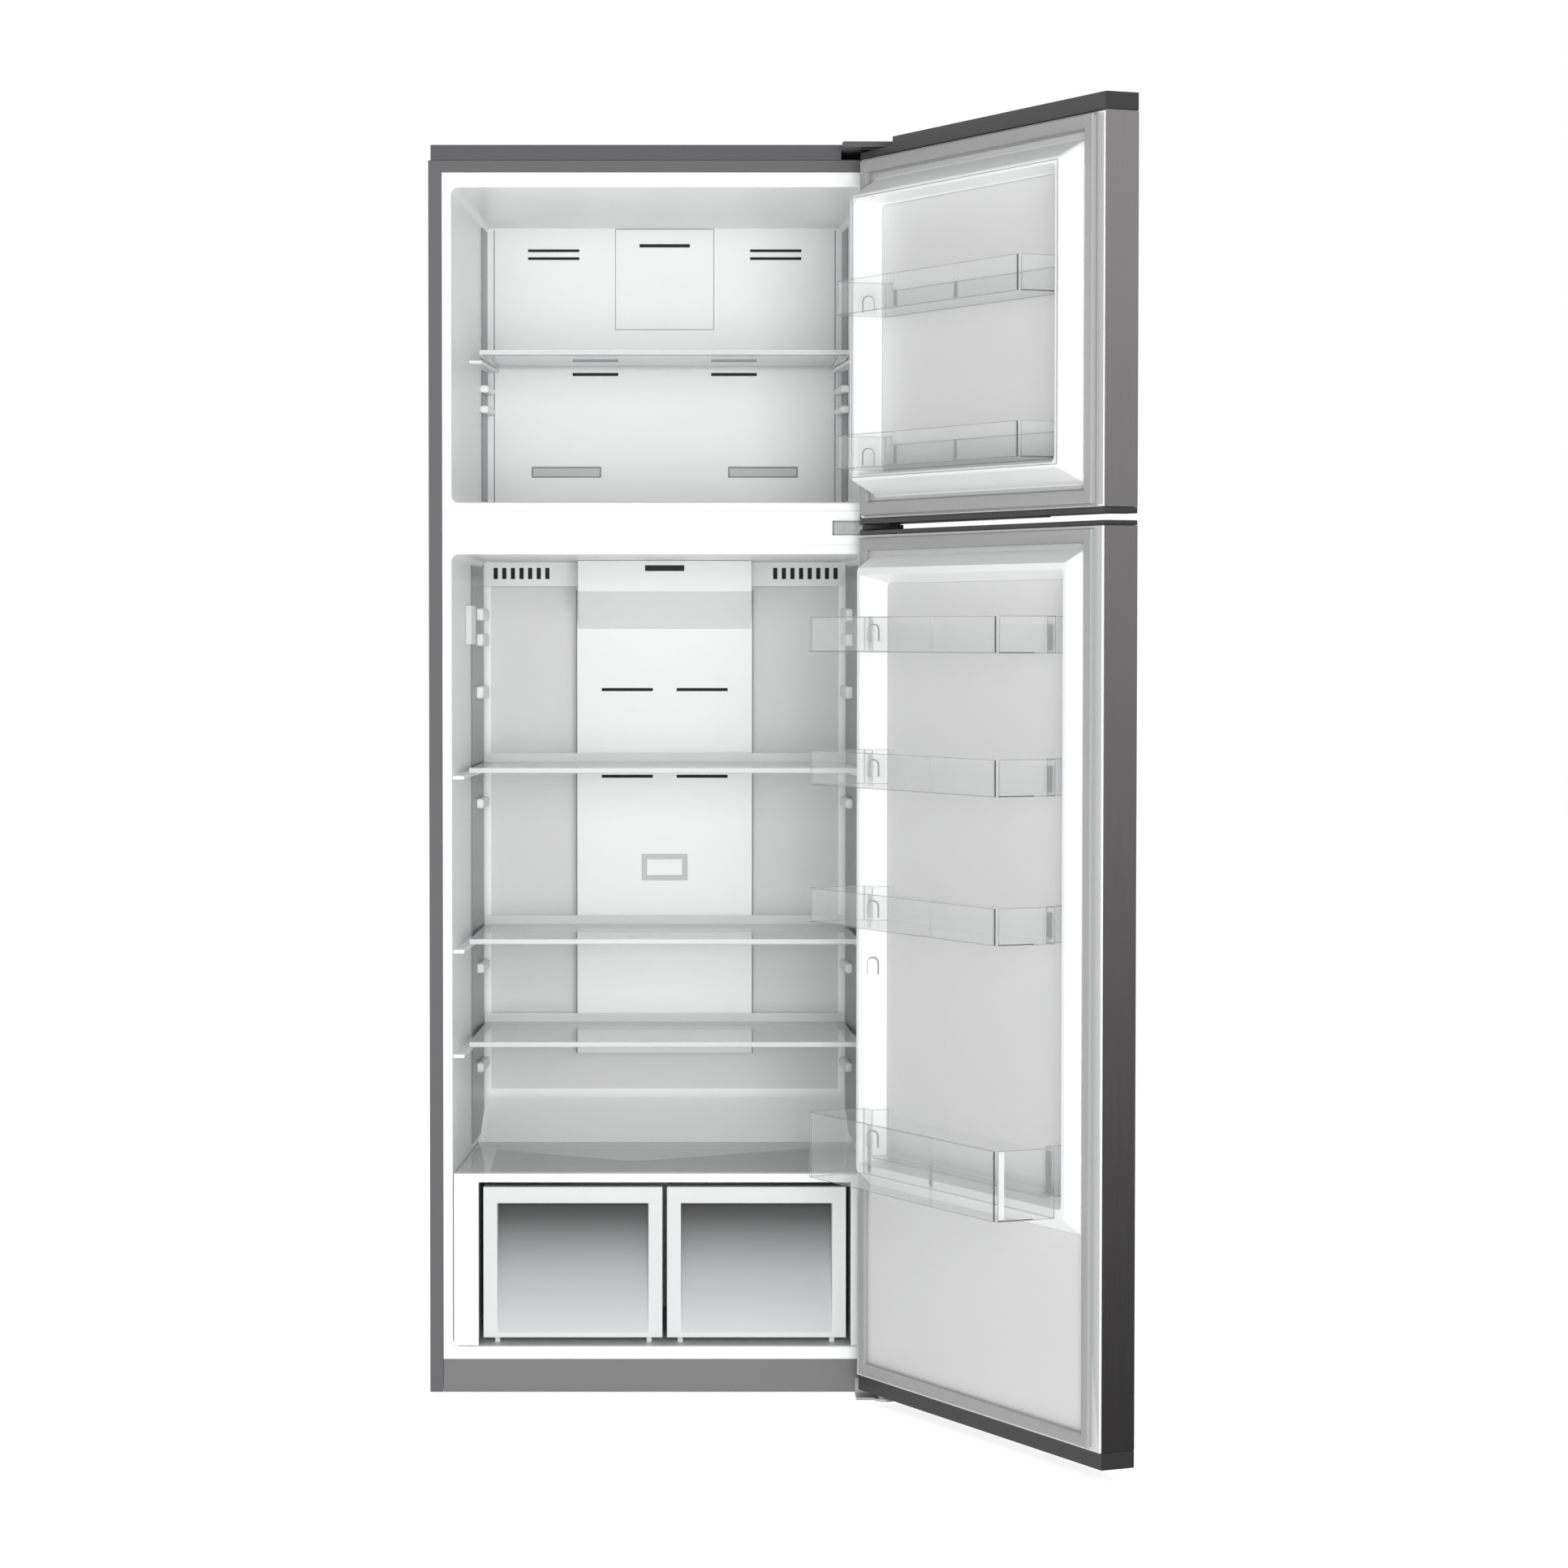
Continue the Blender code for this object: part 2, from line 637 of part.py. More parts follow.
def evaporator_fan():
    """Five pitched blades on a hub that is bored for the motor's shaft."""
    centre = Vector((0, FAN_Y, FAN_HEIGHT))
    hub = cylinder(0.016, "Y", centre, FAN_Y - 0.009, FAN_Y + 0.009, 20)
    blades = []
    for i in range(5):
        blade = box((0.010, -0.0012, -0.016), (0.046, 0.0012, 0.016))
        pitch = Matrix.Rotation(math.radians(28), 4, "X")
        turn = Matrix.Rotation(i * 2 * math.pi / 5, 4, "Y")
        blade.data.transform(Matrix.Translation(centre) @ turn @ pitch)
        blades.append(blade)
    bore = cylinder(0.0022 + GAP, "Y", centre, FAN_Y - GAP, FAN_Y + 0.02, 12)
    node("evaporator_fan", "grey_plastic", hub, blades, [bore], origin=centre)


DUCT_REAR = FRONT + FRIDGE_DEPTH - GAP
DUCT_HALF = 0.140
BAND_LOW = FRIDGE_TOP - 0.0426
BAND_HIGH = fridge_ceiling(DUCT_REAR) - 0.0006
DUCT_LOW = CRISPER_TOP + 0.134


def air_duct():
    """The T-shaped rear duct: a band with the return grilles and a column that ends above the hump."""
    band_half = fridge_half(DUCT_REAR) - GAP
    band = centred_box(band_half, (PANEL_FACE, DUCT_REAR), (BAND_LOW, BAND_HIGH))
    column = centred_box(DUCT_HALF, (PANEL_FACE, DUCT_REAR), (DUCT_LOW, BAND_LOW + 0.01))
    inside = (PANEL_FACE + 0.0025, DUCT_REAR + 0.01)
    band_hollow = centred_box(band_half - 0.0025, inside, (BAND_LOW + 0.0025, BAND_HIGH - 0.0025))
    column_hollow = centred_box(DUCT_HALF - 0.0025, inside, (DUCT_LOW + 0.0025, BAND_LOW + 0.012))
    through = (PANEL_FACE - 0.01, PANEL_FACE + 0.01)
    cuts = [band_hollow, column_hollow]
    for height in (SHELF_HEIGHTS[0] + 0.119, SHELF_HEIGHTS[0] - 0.0200):
        cuts += slots([(s * 0.0600, height) for s in (-1, 1)], 0.0410, 0.0050, *through)
    grille = (BAND_LOW + BAND_HIGH) / 2 + 0.0010
    pitch = 0.0138
    for side, count in ((-1, 7), (1, 8)):
        first = side * (band_half - 0.019 - (7 - count) * 0.003)
        places = [(first - side * i * pitch, grille) for i in range(count)]
        cuts += slots(places, 0.0034, 0.0180, *through)
    middle = (SHELF_HEIGHTS[0] + SHELF_HEIGHTS[1]) / 2 - 0.0355
    raised = (PANEL_FACE - 0.0015, PANEL_FACE + 0.001)
    frame = centred_box(0.0370, raised, (middle - 0.0215, middle + 0.0215))
    recess = (PANEL_FACE - 0.01, PANEL_FACE + 0.001)
    window = centred_box(0.0280, recess, (middle - 0.0125, middle + 0.0125))
    node("air_duct", "white_plastic", band, [column, frame], cuts + [window])


DAMPER_FRONT = FRONT + 0.410
DAMPER_HALF = 0.137
DAMPER_SLOT = (FRIDGE_TOP - 0.0195, FRIDGE_TOP - 0.0103)
FLAP_AXIS = Vector((0, DAMPER_FRONT + 0.0075, DAMPER_SLOT[1]))
FLAP_HALF = 0.034


def damper_outline(wall):
    rear = PANEL_FACE - GAP
    top = fridge_ceiling(rear) - 0.0004 - wall
    low = FRIDGE_TOP - 0.0515 + wall
    foot = FRIDGE_TOP - 0.1108 + wall * 2
    front = DAMPER_FRONT + wall
    back = rear if wall == 0 else rear + 0.01
    return [(front, low), (back, foot), (back, top), (front, top)]


def damper_housing():
    """The hollow air box under the ceiling, open behind, with ears for the flap's pivots."""
    body = prism(damper_outline(0), "X", -DAMPER_HALF, DAMPER_HALF)
    hollow = prism(damper_outline(0.0025), "X", -DAMPER_HALF + 0.0025, DAMPER_HALF - 0.0025)
    mouth = centred_box(0.031, (DAMPER_FRONT - 0.01, DAMPER_FRONT + 0.0045), DAMPER_SLOT)
    housing = node("damper_housing", "white_plastic", body, (), [hollow, mouth])
    ears = []
    bores = []
    for side in (-1, 1):
        low, high = sorted((side * (FLAP_HALF + 0.001), side * (FLAP_HALF + 0.004)))
        corner = (high, FLAP_AXIS.y + 0.004, FLAP_AXIS.z + 0.0058)
        ears.append(box((low, DAMPER_FRONT + 0.001, FLAP_AXIS.z - 0.004), corner))
        bores.append(cylinder(0.0018, "X", FLAP_AXIS, low - 0.001, high + 0.001, 12))
    boolean(housing, ears, "UNION")
    boolean(housing, bores, "DIFFERENCE")


def damper_flap():
    thickness = (FLAP_AXIS.y - 0.0008, FLAP_AXIS.y + 0.0008)
    plate = centred_box(FLAP_HALF, thickness, (DAMPER_SLOT[0] - 0.002, FLAP_AXIS.z))
    pivot = cylinder(0.0015, "X", FLAP_AXIS, -FLAP_HALF - 0.0035, FLAP_HALF + 0.0035, 12)
    node("damper_flap", "dark_plastic", plate, [pivot], origin=FLAP_AXIS)


def interior_lamp():
    """A lamp lens on the left wall, whose back follows the wall."""
    start, end = FRONT + 0.215, FRONT + 0.290
    high = FRIDGE_TOP - 0.075
    outline = [
        (-fridge_half(start) + GAP, start),
        (-fridge_half(end) + GAP, end),
        (-fridge_half(end) + 0.009, end - 0.006),
        (-fridge_half(start) + 0.009, start + 0.006),
    ]
    node("interior_lamp", "clear_plastic", prism(outline, "Z", high - 0.060, high))


# ---------------------------------------------------------------- shelves


def trapezoid(start, end, front_half, rear_half):
    return [(-front_half, start), (front_half, start), (rear_half, end), (-rear_half, end)]


def glass_shelf(name, height, front_half, rear_half):
    """A glass plate in a frame with a front trim, two side rails under it and a rear lip."""
    start = FRONT + SHELF_SETBACK
    end = PANEL_FACE - 0.002

    def half_at(y):
        return front_half + (rear_half - front_half) * (y - start) / (end - start)

    def slab(y0, y1, inset, low, high):
        return prism(trapezoid(y0, y1, half_at(y0) - inset, half_at(y1) - inset), "Z", low, high)

    rail_low = height - SHELF_RAIL
    rails = slab(start + 0.002, end - 0.002, 0.0005, rail_low + 0.0002, height - GAP)
    trim = slab(start, start + SHELF_FRONT_TRIM, 0, rail_low, height + GLASS + 0.0005)
    lip = slab(end - 0.006, end, 0, rail_low, height + SHELF_REAR_LIP)
    opening = slab(start + SHELF_FRONT_TRIM, end - 0.010, 0.012, rail_low - 0.01, height + 0.01)
    node(name + "_frame", "clear_plastic", rails, [trim, lip], [opening])
    plate = slab(start + SHELF_FRONT_TRIM + GAP, end - 0.006 - GAP, 0.0005, height, height + GLASS)
    node(name + "_glass", "shelf_glass", plate)


def shelves():
    glass_shelf("freezer_shelf", FREEZER_SHELF, FREEZER_SHELF_HALF, FREEZER_SHELF_HALF)
    for i, height in enumerate(SHELF_HEIGHTS):
        glass_shelf(f"shelf_{i + 1}", height, SHELF_FRONT_HALF, SHELF_REAR_HALF)


def crisper_frame():
    """The crisper's front rail, its side fillers and walls, and the ring that the glass lies on."""
    start = FRONT + 0.003
    rail_low = CRISPER_TOP - CRISPER_RAIL
    floor = FRIDGE_FLOOR + 0.0008
    half = fridge_half(start + 0.020) - GAP
    rail = centred_box(half, (start, start + 0.020), (rail_low, CRISPER_TOP))
    inner = drawer_spans()[1][1] + 0.007
    end = FRONT + CRISPER_DEPTH
    seat = CRISPER_TOP - GLASS - GAP
    ring = prism(
        trapezoid(start + 0.010, end, fridge_half(start + 0.010) - 0.001, fridge_half(end) - 0.001),
        "Z", seat - 0.005, seat,
    )
    open_half = inner - 0.014
    hole = prism(
        trapezoid(start + 0.0201, end - 0.012, open_half, open_half), "Z", seat - 0.02, seat + 0.02
    )
    added = [ring]
    for side in (-1, 1):
        low, high = sorted((side * inner, side * half))
        added.append(box((low, start, floor), (high, start + 0.003, rail_low + 0.001)))
        low, high = sorted((side * inner, side * (inner + 0.0025)))
        corner = (high, FRONT + HUMP_DEPTH - 0.012, seat - 0.002)
        added.append(box((low, start, floor + 0.0065), corner))
    node("crisper_frame", "white_plastic", rail, added, [hole])


def crisper_glass():
    start = FRONT + 0.023 + GAP
    end = FRONT + CRISPER_DEPTH + 0.008
    outline = trapezoid(start, end, fridge_half(start) - 0.002, fridge_half(end) - 0.002)
    node("crisper_glass", "shelf_glass", prism(outline, "Z", CRISPER_TOP - GLASS, CRISPER_TOP))


def drawer(name, low, high):
    """A crisper drawer whose front leans back under its rim to make the grip."""
    front = FRONT + DRAWER_SETBACK
    back = front + DRAWER_DEPTH
    grip = DRAWER_TOP - DRAWER_RIM
    lean = 0.028
    body = box((low, front, DRAWER_FLOOR), (high, back, DRAWER_TOP))
    w = DRAWER_WALL
    rim = front + lean + 0.008
    space = prism(
        [
            (front + w, DRAWER_FLOOR + w),
            (back - w, DRAWER_FLOOR + w),
            (back - w, DRAWER_TOP + 0.01),
            (rim, DRAWER_TOP + 0.01),
            (rim, DRAWER_TOP - w),
            (front + w, DRAWER_TOP - w),
            (front + w, grip + w),
            (front + lean + w, grip + w),
        ],
        "X", low + w, high - w,
    )
    ahead, foot = front - 0.01, DRAWER_FLOOR + 0.0075
    scoop = prism(
        [(ahead, foot), (front, foot), (front + lean, grip), (ahead, grip)],
        "X", low + 0.021, high - 0.021,
    )
    node(name, "clear_plastic", body, (), [space, scoop])


# ---------------------------------------------------------------- doors


def door_frame(top):
    """An empty on the hinge axis, turned to the open position, that carries a door's pieces."""
    empty = bpy.data.objects.new("upper_door_axis" if top else "lower_door_axis", None)
    empty.location = HINGE_AXIS
    empty.rotation_euler.z = math.radians(DOOR_OPEN_DEGREES)
    bpy.context.scene.collection.objects.link(empty)
    return empty


def hang(obj, axis):
    """A piece modelled on the closed door, hung on the door's axis."""
    obj.data.transform(Matrix.Translation(-HINGE_AXIS))
    obj.parent = axis
    return obj


def rectangle(shape, half, low, high, y):
    """The four corners of a rectangle that faces the cabinet."""
    corners = ((-half, low), (half, low), (half, high), (-half, high))
    return [shape.verts.new((x, y, z)) for x, z in corners]


def join_loops(shape, loops):
    for first, second in zip(loops, loops[1:]):
        for i in range(4):
            j = (i + 1) % 4
            shape.faces.new((first[i], first[j], second[j], second[i]))


class Door:
    """The sizes of one door and of the ridge that is moulded into its liner."""

    def __init__(self, name, low, high, foot_cap, head_cap, ridge):
        self.name = name
        self.low, self.high = low, high
        self.inner_low = low + foot_cap
        self.inner_high = high - head_cap
        self.ridge_low, self.ridge_high, self.ridge_height = ridge[:3]
        self.sides, self.rises, self.drops = ridge[3:]
        self.axis = door_frame(name == "upper")

    def ridge_loops(self, shape, wall):
        """Nested rectangles over the liner's face, or a wall's thickness under it."""
        rise = self.ridge_height - wall
        levels = ((wall, -wall), (wall, rise), (-wall, rise), (-wall, -wall))
        insets = zip((RIDGE_INSET, *self.sides), (0, *self.rises), (0, *self.drops), levels)
        loops = []
        for side, from_low, from_high, (shift, y) in insets:
            low, high = self.ridge_low + from_low + shift, self.ridge_high - from_high - shift
            loops.append(rectangle(shape, HALF - side - shift, low, high, DOOR_INNER + y))
        return loops

    def liner(self):
        shape = bmesh.new()
        low, high = self.inner_low + GAP, self.inner_high - GAP
        front = [rectangle(shape, INNER_HALF, low, high, DOOR_INNER)]
        front += self.ridge_loops(shape, 0)
        back = [rectangle(shape, INNER_HALF, low, high, DOOR_INNER - LINER_WALL)]
        back += self.ridge_loops(shape, LINER_WALL)
        join_loops(shape, front)
        join_loops(shape, back)
        join_loops(shape, [front[0], back[0]])
        shape.faces.new(front[-1])
        shape.faces.new(back[-1])
        return as_object(shape)

    def foam(self):
        shape = bmesh.new()
        wall = LINER_WALL + GAP
        low, high = self.inner_low + GAP, self.inner_high - GAP
        loops = [
            rectangle(shape, INNER_HALF, low, high, DOOR_OUTER + SHEET + GAP),
            rectangle(shape, INNER_HALF, low, high, DOOR_INNER - wall),
        ]
        loops += self.ridge_loops(shape, wall)
        join_loops(shape, loops)
        shape.faces.new(loops[0])
        shape.faces.new(loops[-1])
        return as_object(shape)

    def gasket(self):
        """A square ring whose sealing face is narrower than its base."""
        shape = bmesh.new()
        half = HALF - GASKET_INSET
        low, high = self.inner_low + 0.002, self.inner_high - 0.002
        base = DOOR_INNER + GAP
        face = FRONT - GASKET_LIP
        c, w = GASKET_CHAMFER, GASKET_WIDTH
        loops = [
            rectangle(shape, half, low, high, base),
            rectangle(shape, half - c, low + c, high - c, face),
            rectangle(shape, half - w + c, low + w - c, high - w + c, face),
            rectangle(shape, half - w, low + w, high - w, base),
        ]
        join_loops(shape, loops + loops[:1])
        return as_object(shape)

    def skin(self):
        outline = [
            (-HALF, DOOR_INNER), (-HALF, DOOR_OUTER), (HALF, DOOR_OUTER), (HALF, DOOR_INNER),
            (HALF - SHEET, DOOR_INNER), (HALF - SHEET, DOOR_OUTER + SHEET),
            (-HALF + SHEET, DOOR_OUTER + SHEET), (-HALF + SHEET, DOOR_INNER),
        ]
        return prism(outline, "Z", self.inner_low + GAP, self.inner_high - GAP)

    def cap(self, low, high):
        return box((-HALF, DOOR_OUTER, low), (HALF, DOOR_INNER, high))

    def pin_hole(self, low, high):
        return cylinder(PIN_RADIUS + PIN_CLEARANCE, "Z", HINGE_AXIS, low, high, 16)

    def build(self, bosses, foot_cuts, head_cuts):
        prefix = self.name + "_door"
        hang(node(prefix + "_skin", "door_steel", self.skin()), self.axis)
        hang(node(prefix + "_liner", "white_plastic", self.liner(), bosses), self.axis)
        hang(node(prefix + "_foam", "foam", self.foam()), self.axis)
        hang(node(prefix + "_gasket", "gasket_rubber", self.gasket()), self.axis)
        foot = self.cap(self.low, self.inner_low)
        head = self.cap(self.inner_high, self.high)
        hang(node(prefix + "_foot_cap", "dark_plastic", foot, (), foot_cuts), self.axis)
        hang(node(prefix + "_head_cap", "dark_plastic", head, (), head_cuts), self.axis)

    def boss(self, side, low, outline):
        """A boss that a bin hooks on, from (inset from the side, height off the liner) points."""
        points = [(side * (HALF - inset), DOOR_INNER + y) for inset, y in outline]
        return prism(points, "Z", low, low + 0.026)

    def bin(self, name, low, high, plan, step=0.0):
        """An open bin from its plan on the closed door. A step lifts its neck over the ridge."""
        neck = DOOR_INNER + plan[-2][1] if step else DOOR_INNER - 0.01
        body = prism(mirrored(plan), "Z", low, high)
        space = prism(mirrored(thinned(plan)), "Z", low + BIN_WALL, high + 0.02)
        if step:
            for solid, wall in ((body, 0), (space, BIN_WALL)):
                depth = (DOOR_INNER - 0.01, neck + wall)
                under = centred_box(HALF, depth, (low - 0.01, low + step + wall))
                boolean(solid, [under], "DIFFERENCE")
        rear_wall = (DOOR_INNER - 0.02, DOOR_INNER + plan[0][1] + 0.001 + BIN_WALL)
        dip = centred_box(plan[0][0] - 0.020, rear_wall, (high - 0.012, high + 0.02))
        hang(node(name, "clear_plastic", body, (), [space, dip]), self.axis)


def mirrored(plan):
    """A closed plan from the (half width, height off the liner) points of its right half."""
    left = [(-half, DOOR_INNER + y) for half, y in plan]
    return left + [(-half, y) for half, y in left[::-1]]


def thinned(plan):
    """The right half of a plan with the bin's wall taken off."""
    moved = [(half - BIN_WALL, y + BIN_WALL) for half, y in plan[:-1]]
    return moved + [(plan[-1][0] - BIN_WALL, plan[-1][1] - BIN_WALL)]


GRIP_INSET = 0.030
GRIP_LENGTH = 0.200
GRIP_DEPTH = 0.025
FREEZER_BIN_HALF = HALF - 0.0845
FREEZER_BIN_OUT = 0.085
FREEZER_BIN_HEIGHT = 0.050
FRIDGE_BIN_HALF = HALF - 0.075
FRIDGE_BIN_NECK = HALF - 0.099
BIN_NECK = 0.0305
FRIDGE_BIN_OUT = 0.123
FRIDGE_BIN_HEIGHT = 0.051
BOTTLE_BIN_HEIGHT = 0.0965
FREEZER_BIN_STATION = 0.560
BIN_OVER_RIDGE = 0.0014
FRIDGE_BIN_STATIONS = (0.8487, 0.6403, 0.4245, 0.0226)
SPARE_BOSS_STATION = 0.322


def grip(low, high):
    """A finger recess in a cap's front edge, on the free side."""
    start = -HALF + GRIP_INSET
    return box((start, DOOR_OUTER - 0.01, low), (start + GRIP_LENGTH, DOOR_OUTER + GRIP_DEPTH, high))


def upper_door():
    ridge = (
        UPPER_DOOR_BOTTOM + 0.0403, UPPER_DOOR_TOP - 0.0582, 0.042,
        (0.0464, 0.0640, 0.0680), (0.0227, 0.0300, 0.0345), (0.0257, 0.0330, 0.0375),
    )
    door = Door("upper", UPPER_DOOR_BOTTOM, UPPER_DOOR_TOP, UPPER_FOOT_CAP, BIG_CAP, ridge)
    span = door.ridge_high - door.ridge_low
    foot = door.ridge_low + door.rises[-1] + BIN_OVER_RIDGE
    lows = [door.ridge_low + FREEZER_BIN_STATION * span, foot]
    side = HALF - FREEZER_BIN_HALF - GAP
    outline = [(side, 0.012), (0.0664, 0.012), (0.0644, 0.036), (side, 0.036)]
    bosses = [door.boss(side, low + 0.004, outline) for low in lows for side in (-1, 1)]
    notch = box(
        (HALF - NOTCH_LENGTH, DOOR_OUTER - 0.01, door.high - NOTCH_DEPTH),
        (HALF + 0.01, DOOR_INNER + 0.01, door.high + 0.01),
    )
    under = door.low - 0.01
    foot_cuts = [door.pin_hole(under, door.low + 0.0065), grip(under, door.low + 0.006)]
    head_cuts = [notch, door.pin_hole(door.high - 0.0225, door.high)]
    door.build(bosses, foot_cuts, head_cuts)
    plan = [(FREEZER_BIN_HALF, 0.002), (FREEZER_BIN_HALF, FREEZER_BIN_OUT)]
    for i, low in enumerate(lows):
        door.bin(f"freezer_bin_{i + 1}", low, low + FREEZER_BIN_HEIGHT, plan)


def lower_door():
    ridge = (
        LOWER_DOOR_BOTTOM + 0.3122, LOWER_DOOR_TOP - 0.0383, 0.027,
        (0.0490, 0.0580, 0.0950), (0.0223, 0.0340, 0.0460), (0.0180, 0.0276, 0.0400),
    )
    door = Door("lower", LOWER_DOOR_BOTTOM, LOWER_DOOR_TOP, BIG_CAP - 0.001, LOWER_HEAD_CAP, ridge)
    span = door.ridge_high - door.ridge_low
    lows = [door.ridge_low + station * span for station in FRIDGE_BIN_STATIONS]
    crest, base = door.sides[1:]
    slope = door.ridge_height / (base - crest)
    outline = [
        (0.076, slope * (base - 0.076) - 0.0006),
        (0.093, slope * (base - 0.093) - 0.0006),
        (0.093, BIN_NECK - GAP),
        (0.076, BIN_NECK - GAP),
    ]
    step = door.ridge_low + door.rises[-1] + 0.002 - lows[-1]
    stations = [*lows[:-1], lows[-1] + step, door.ridge_low + SPARE_BOSS_STATION * span]
    bosses = [door.boss(side, low + 0.004, outline) for low in stations for side in (-1, 1)]
    foot_cuts = [door.pin_hole(door.low - 0.01, door.low + 0.016)]
    above = door.high + 0.01
    head_cuts = [door.pin_hole(door.high - 0.0055, above), grip(door.high - 0.005, above)]
    door.build(bosses, foot_cuts, head_cuts)
    plan = [
        (FRIDGE_BIN_NECK, 0.002), (FRIDGE_BIN_NECK, BIN_NECK),
        (FRIDGE_BIN_HALF, BIN_NECK), (FRIDGE_BIN_HALF, FRIDGE_BIN_OUT),
    ]
    for i, low in enumerate(lows[:-1]):
        door.bin(f"door_bin_{i + 1}", low, low + FRIDGE_BIN_HEIGHT, plan)
    door.bin("bottle_bin", lows[-1], lows[-1] + BOTTLE_BIN_HEIGHT, plan, step)


# ---------------------------------------------------------------- underside and compressor bay


def levelling_foot(name, x, y):
    disc = cylinder(FOOT_RADIUS, "Z", (x, y, 0), -FOOT_DROP, -0.0025, 24)
    stem = cylinder(STEM_RADIUS, "Z", (x, y, 0), -0.004, 0.018, 16)
    node(name, "dark_plastic", disc, [stem], origin=(x, y, -FOOT_DROP))


TRAY_LOW = 0.0035
TRAY_HIGH = 0.0050
AXLE_HEIGHT = ROLLER_RADIUS - FOOT_DROP
ROLLER_Y = BACK - ROLLER_FROM_BACK
ROLLER_PLACES = [side * (HALF - ROLLER_INSET) for side in (-1, 1)]


def compressor_tray():
    """The cross member that carries the compressor, with the rollers' ears and axles."""
    start = BAY_Y + 0.004
    plate = centred_box(INNER_HALF, (start, BACK - 0.003), (TRAY_LOW, TRAY_HIGH))
    added = [centred_box(INNER_HALF, (start, start + 0.0015), (TRAY_LOW, TRAY_HIGH + 0.018))]
    half, reach = ROLLER_WIDTH / 2, ROLLER_RADIUS + 0.003
    cuts = [
        box((x - half - 0.001, ROLLER_Y - reach, -0.01), (x + half + 0.001, ROLLER_Y + reach, 0.02))
        for x in ROLLER_PLACES
    ]
    tray = node("compressor_tray", "zinc_steel", plate, added, cuts)
    ears = []
    for x in ROLLER_PLACES:
        for middle in (x - half - 0.002, x + half + 0.002):
            ear = (middle + 0.001, ROLLER_Y + 0.014, 0.0165)
            ears.append(box((middle - 0.001, ROLLER_Y - 0.014, -0.002), ear))
        centre = (x, ROLLER_Y, AXLE_HEIGHT)
        ears.append(cylinder(0.004, "X", centre, x - half - 0.002, x + half + 0.002, 16))
    boolean(tray, ears, "UNION")


def rear_roller(name, x):
    centre = (x, ROLLER_Y, AXLE_HEIGHT)
    wheel = cylinder(ROLLER_RADIUS, "X", centre, x - ROLLER_WIDTH / 2, x + ROLLER_WIDTH / 2, 24)
    bore = cylinder(0.0043, "X", centre, x - 0.02, x + 0.02, 16)
    node(name, "dark_plastic", wheel, (), [bore], origin=centre)


COMPRESSOR_X = -0.130
COMPRESSOR_HEIGHT = 0.174
COMPRESSOR_Y = (BAY_Y + BACK) / 2 + 0.004


def compressor():
    """A domed hermetic can on a foot plate with four rubber feet."""
    low = TRAY_HIGH + GAP
    profile = [
        (0, 0.012), (0.055, 0.014), (0.072, 0.030), (0.076, 0.080), (0.072, 0.130), (0.052, 0.160),
        (0.026, 0.172), (0, COMPRESSOR_HEIGHT),
    ]
    x, y = COMPRESSOR_X, COMPRESSOR_Y
    can = turned([(r, z + low) for r, z in profile], (x, y, 0))
    plate = box((x - 0.095, y - 0.055, low + 0.012), (x + 0.095, y + 0.055, low + 0.018))
    feet = [
        cylinder(0.010, "Z", (x + sx * 0.082, y + sy * 0.043, 0), low, low + 0.022, 12)
        for sx in (-1, 1)
        for sy in (-1, 1)
    ]
    port = cylinder(0.004, "Z", (x + 0.060, y, 0), low + 0.10, low + 0.172, 12)
    smooth(node("compressor", "black_steel", can, [plate, *feet, port]))


def drip_tray():
    """An open pan that rests on the warm compressor."""
    low = TRAY_HIGH + GAP + COMPRESSOR_HEIGHT + GAP
    x, y = COMPRESSOR_X, COMPRESSOR_Y
    pan = box((x - 0.100, y - 0.080, low), (x + 0.100, y + 0.080, low + 0.030))
    space = box((x - 0.098, y - 0.078, low + 0.002), (x + 0.098, y + 0.078, low + 0.05))
    node("drip_tray", "dark_plastic", pan, (), [space])


def condenser():
    """A finned warm coil beside the compressor, on two feet."""
    x0, x1 = 0.030, 0.230
    y0, y1 = COMPRESSOR_Y - 0.055, COMPRESSOR_Y + 0.055
    low = TRAY_HIGH + GAP
    block = box((x0, y0, low + 0.015), (x1, y1, low + 0.135))
    feet = [box((x, y0, low), (x + 0.003, y1, low + 0.020)) for x in (x0, x1 - 0.003)]
    count = 10
    grooves = []
    for i in range(count):
        x = x0 + 0.006 + (i + 0.5) * (x1 - x0 - 0.012) / count
        grooves.append(box((x - 0.007, y0 + 0.030, low + 0.02), (x + 0.007, y1 + 0.01, low + 0.15)))
    node("condenser", "aluminium", block, feet, grooves)


INLET_X = HALF - 0.090
INLET_Z = BAY_REAR_TOP - 0.060


def rear_grille():
    """The vented cover of the compressor bay."""
    low, high = 0.012, BAY_REAR_TOP + 0.0027
    sheet = centred_box(INNER_HALF, (BACK - 0.001, BACK), (low, high))
    rows = 7
    spacing = (high - low - 0.135) / (rows - 1)
    places = [(x, low + 0.035 + row * spacing) for row in range(rows) for x in (-HALF / 2, 0, HALF / 2)]
    cuts = slots(places, 0.055, 0.012, BACK - 0.01, BACK + 0.01)
    cuts += slots([(INLET_X, INLET_Z)], 0.014, 0.020, BACK - 0.01, BACK + 0.01)
    node("rear_grille", "zinc_steel", sheet, (), cuts)


def power_inlet():
    """A mains inlet behind the bay's cover; the lead itself is left out."""
    y = BACK - 0.001 - GAP
    (body,) = slots([(INLET_X, INLET_Z)], 0.020, 0.030, y - 0.025, y)
    (socket,) = slots([(INLET_X, INLET_Z)], 0.012, 0.016, y - 0.018, y + 0.01)
    node("power_inlet", "dark_plastic", body, (), [socket])


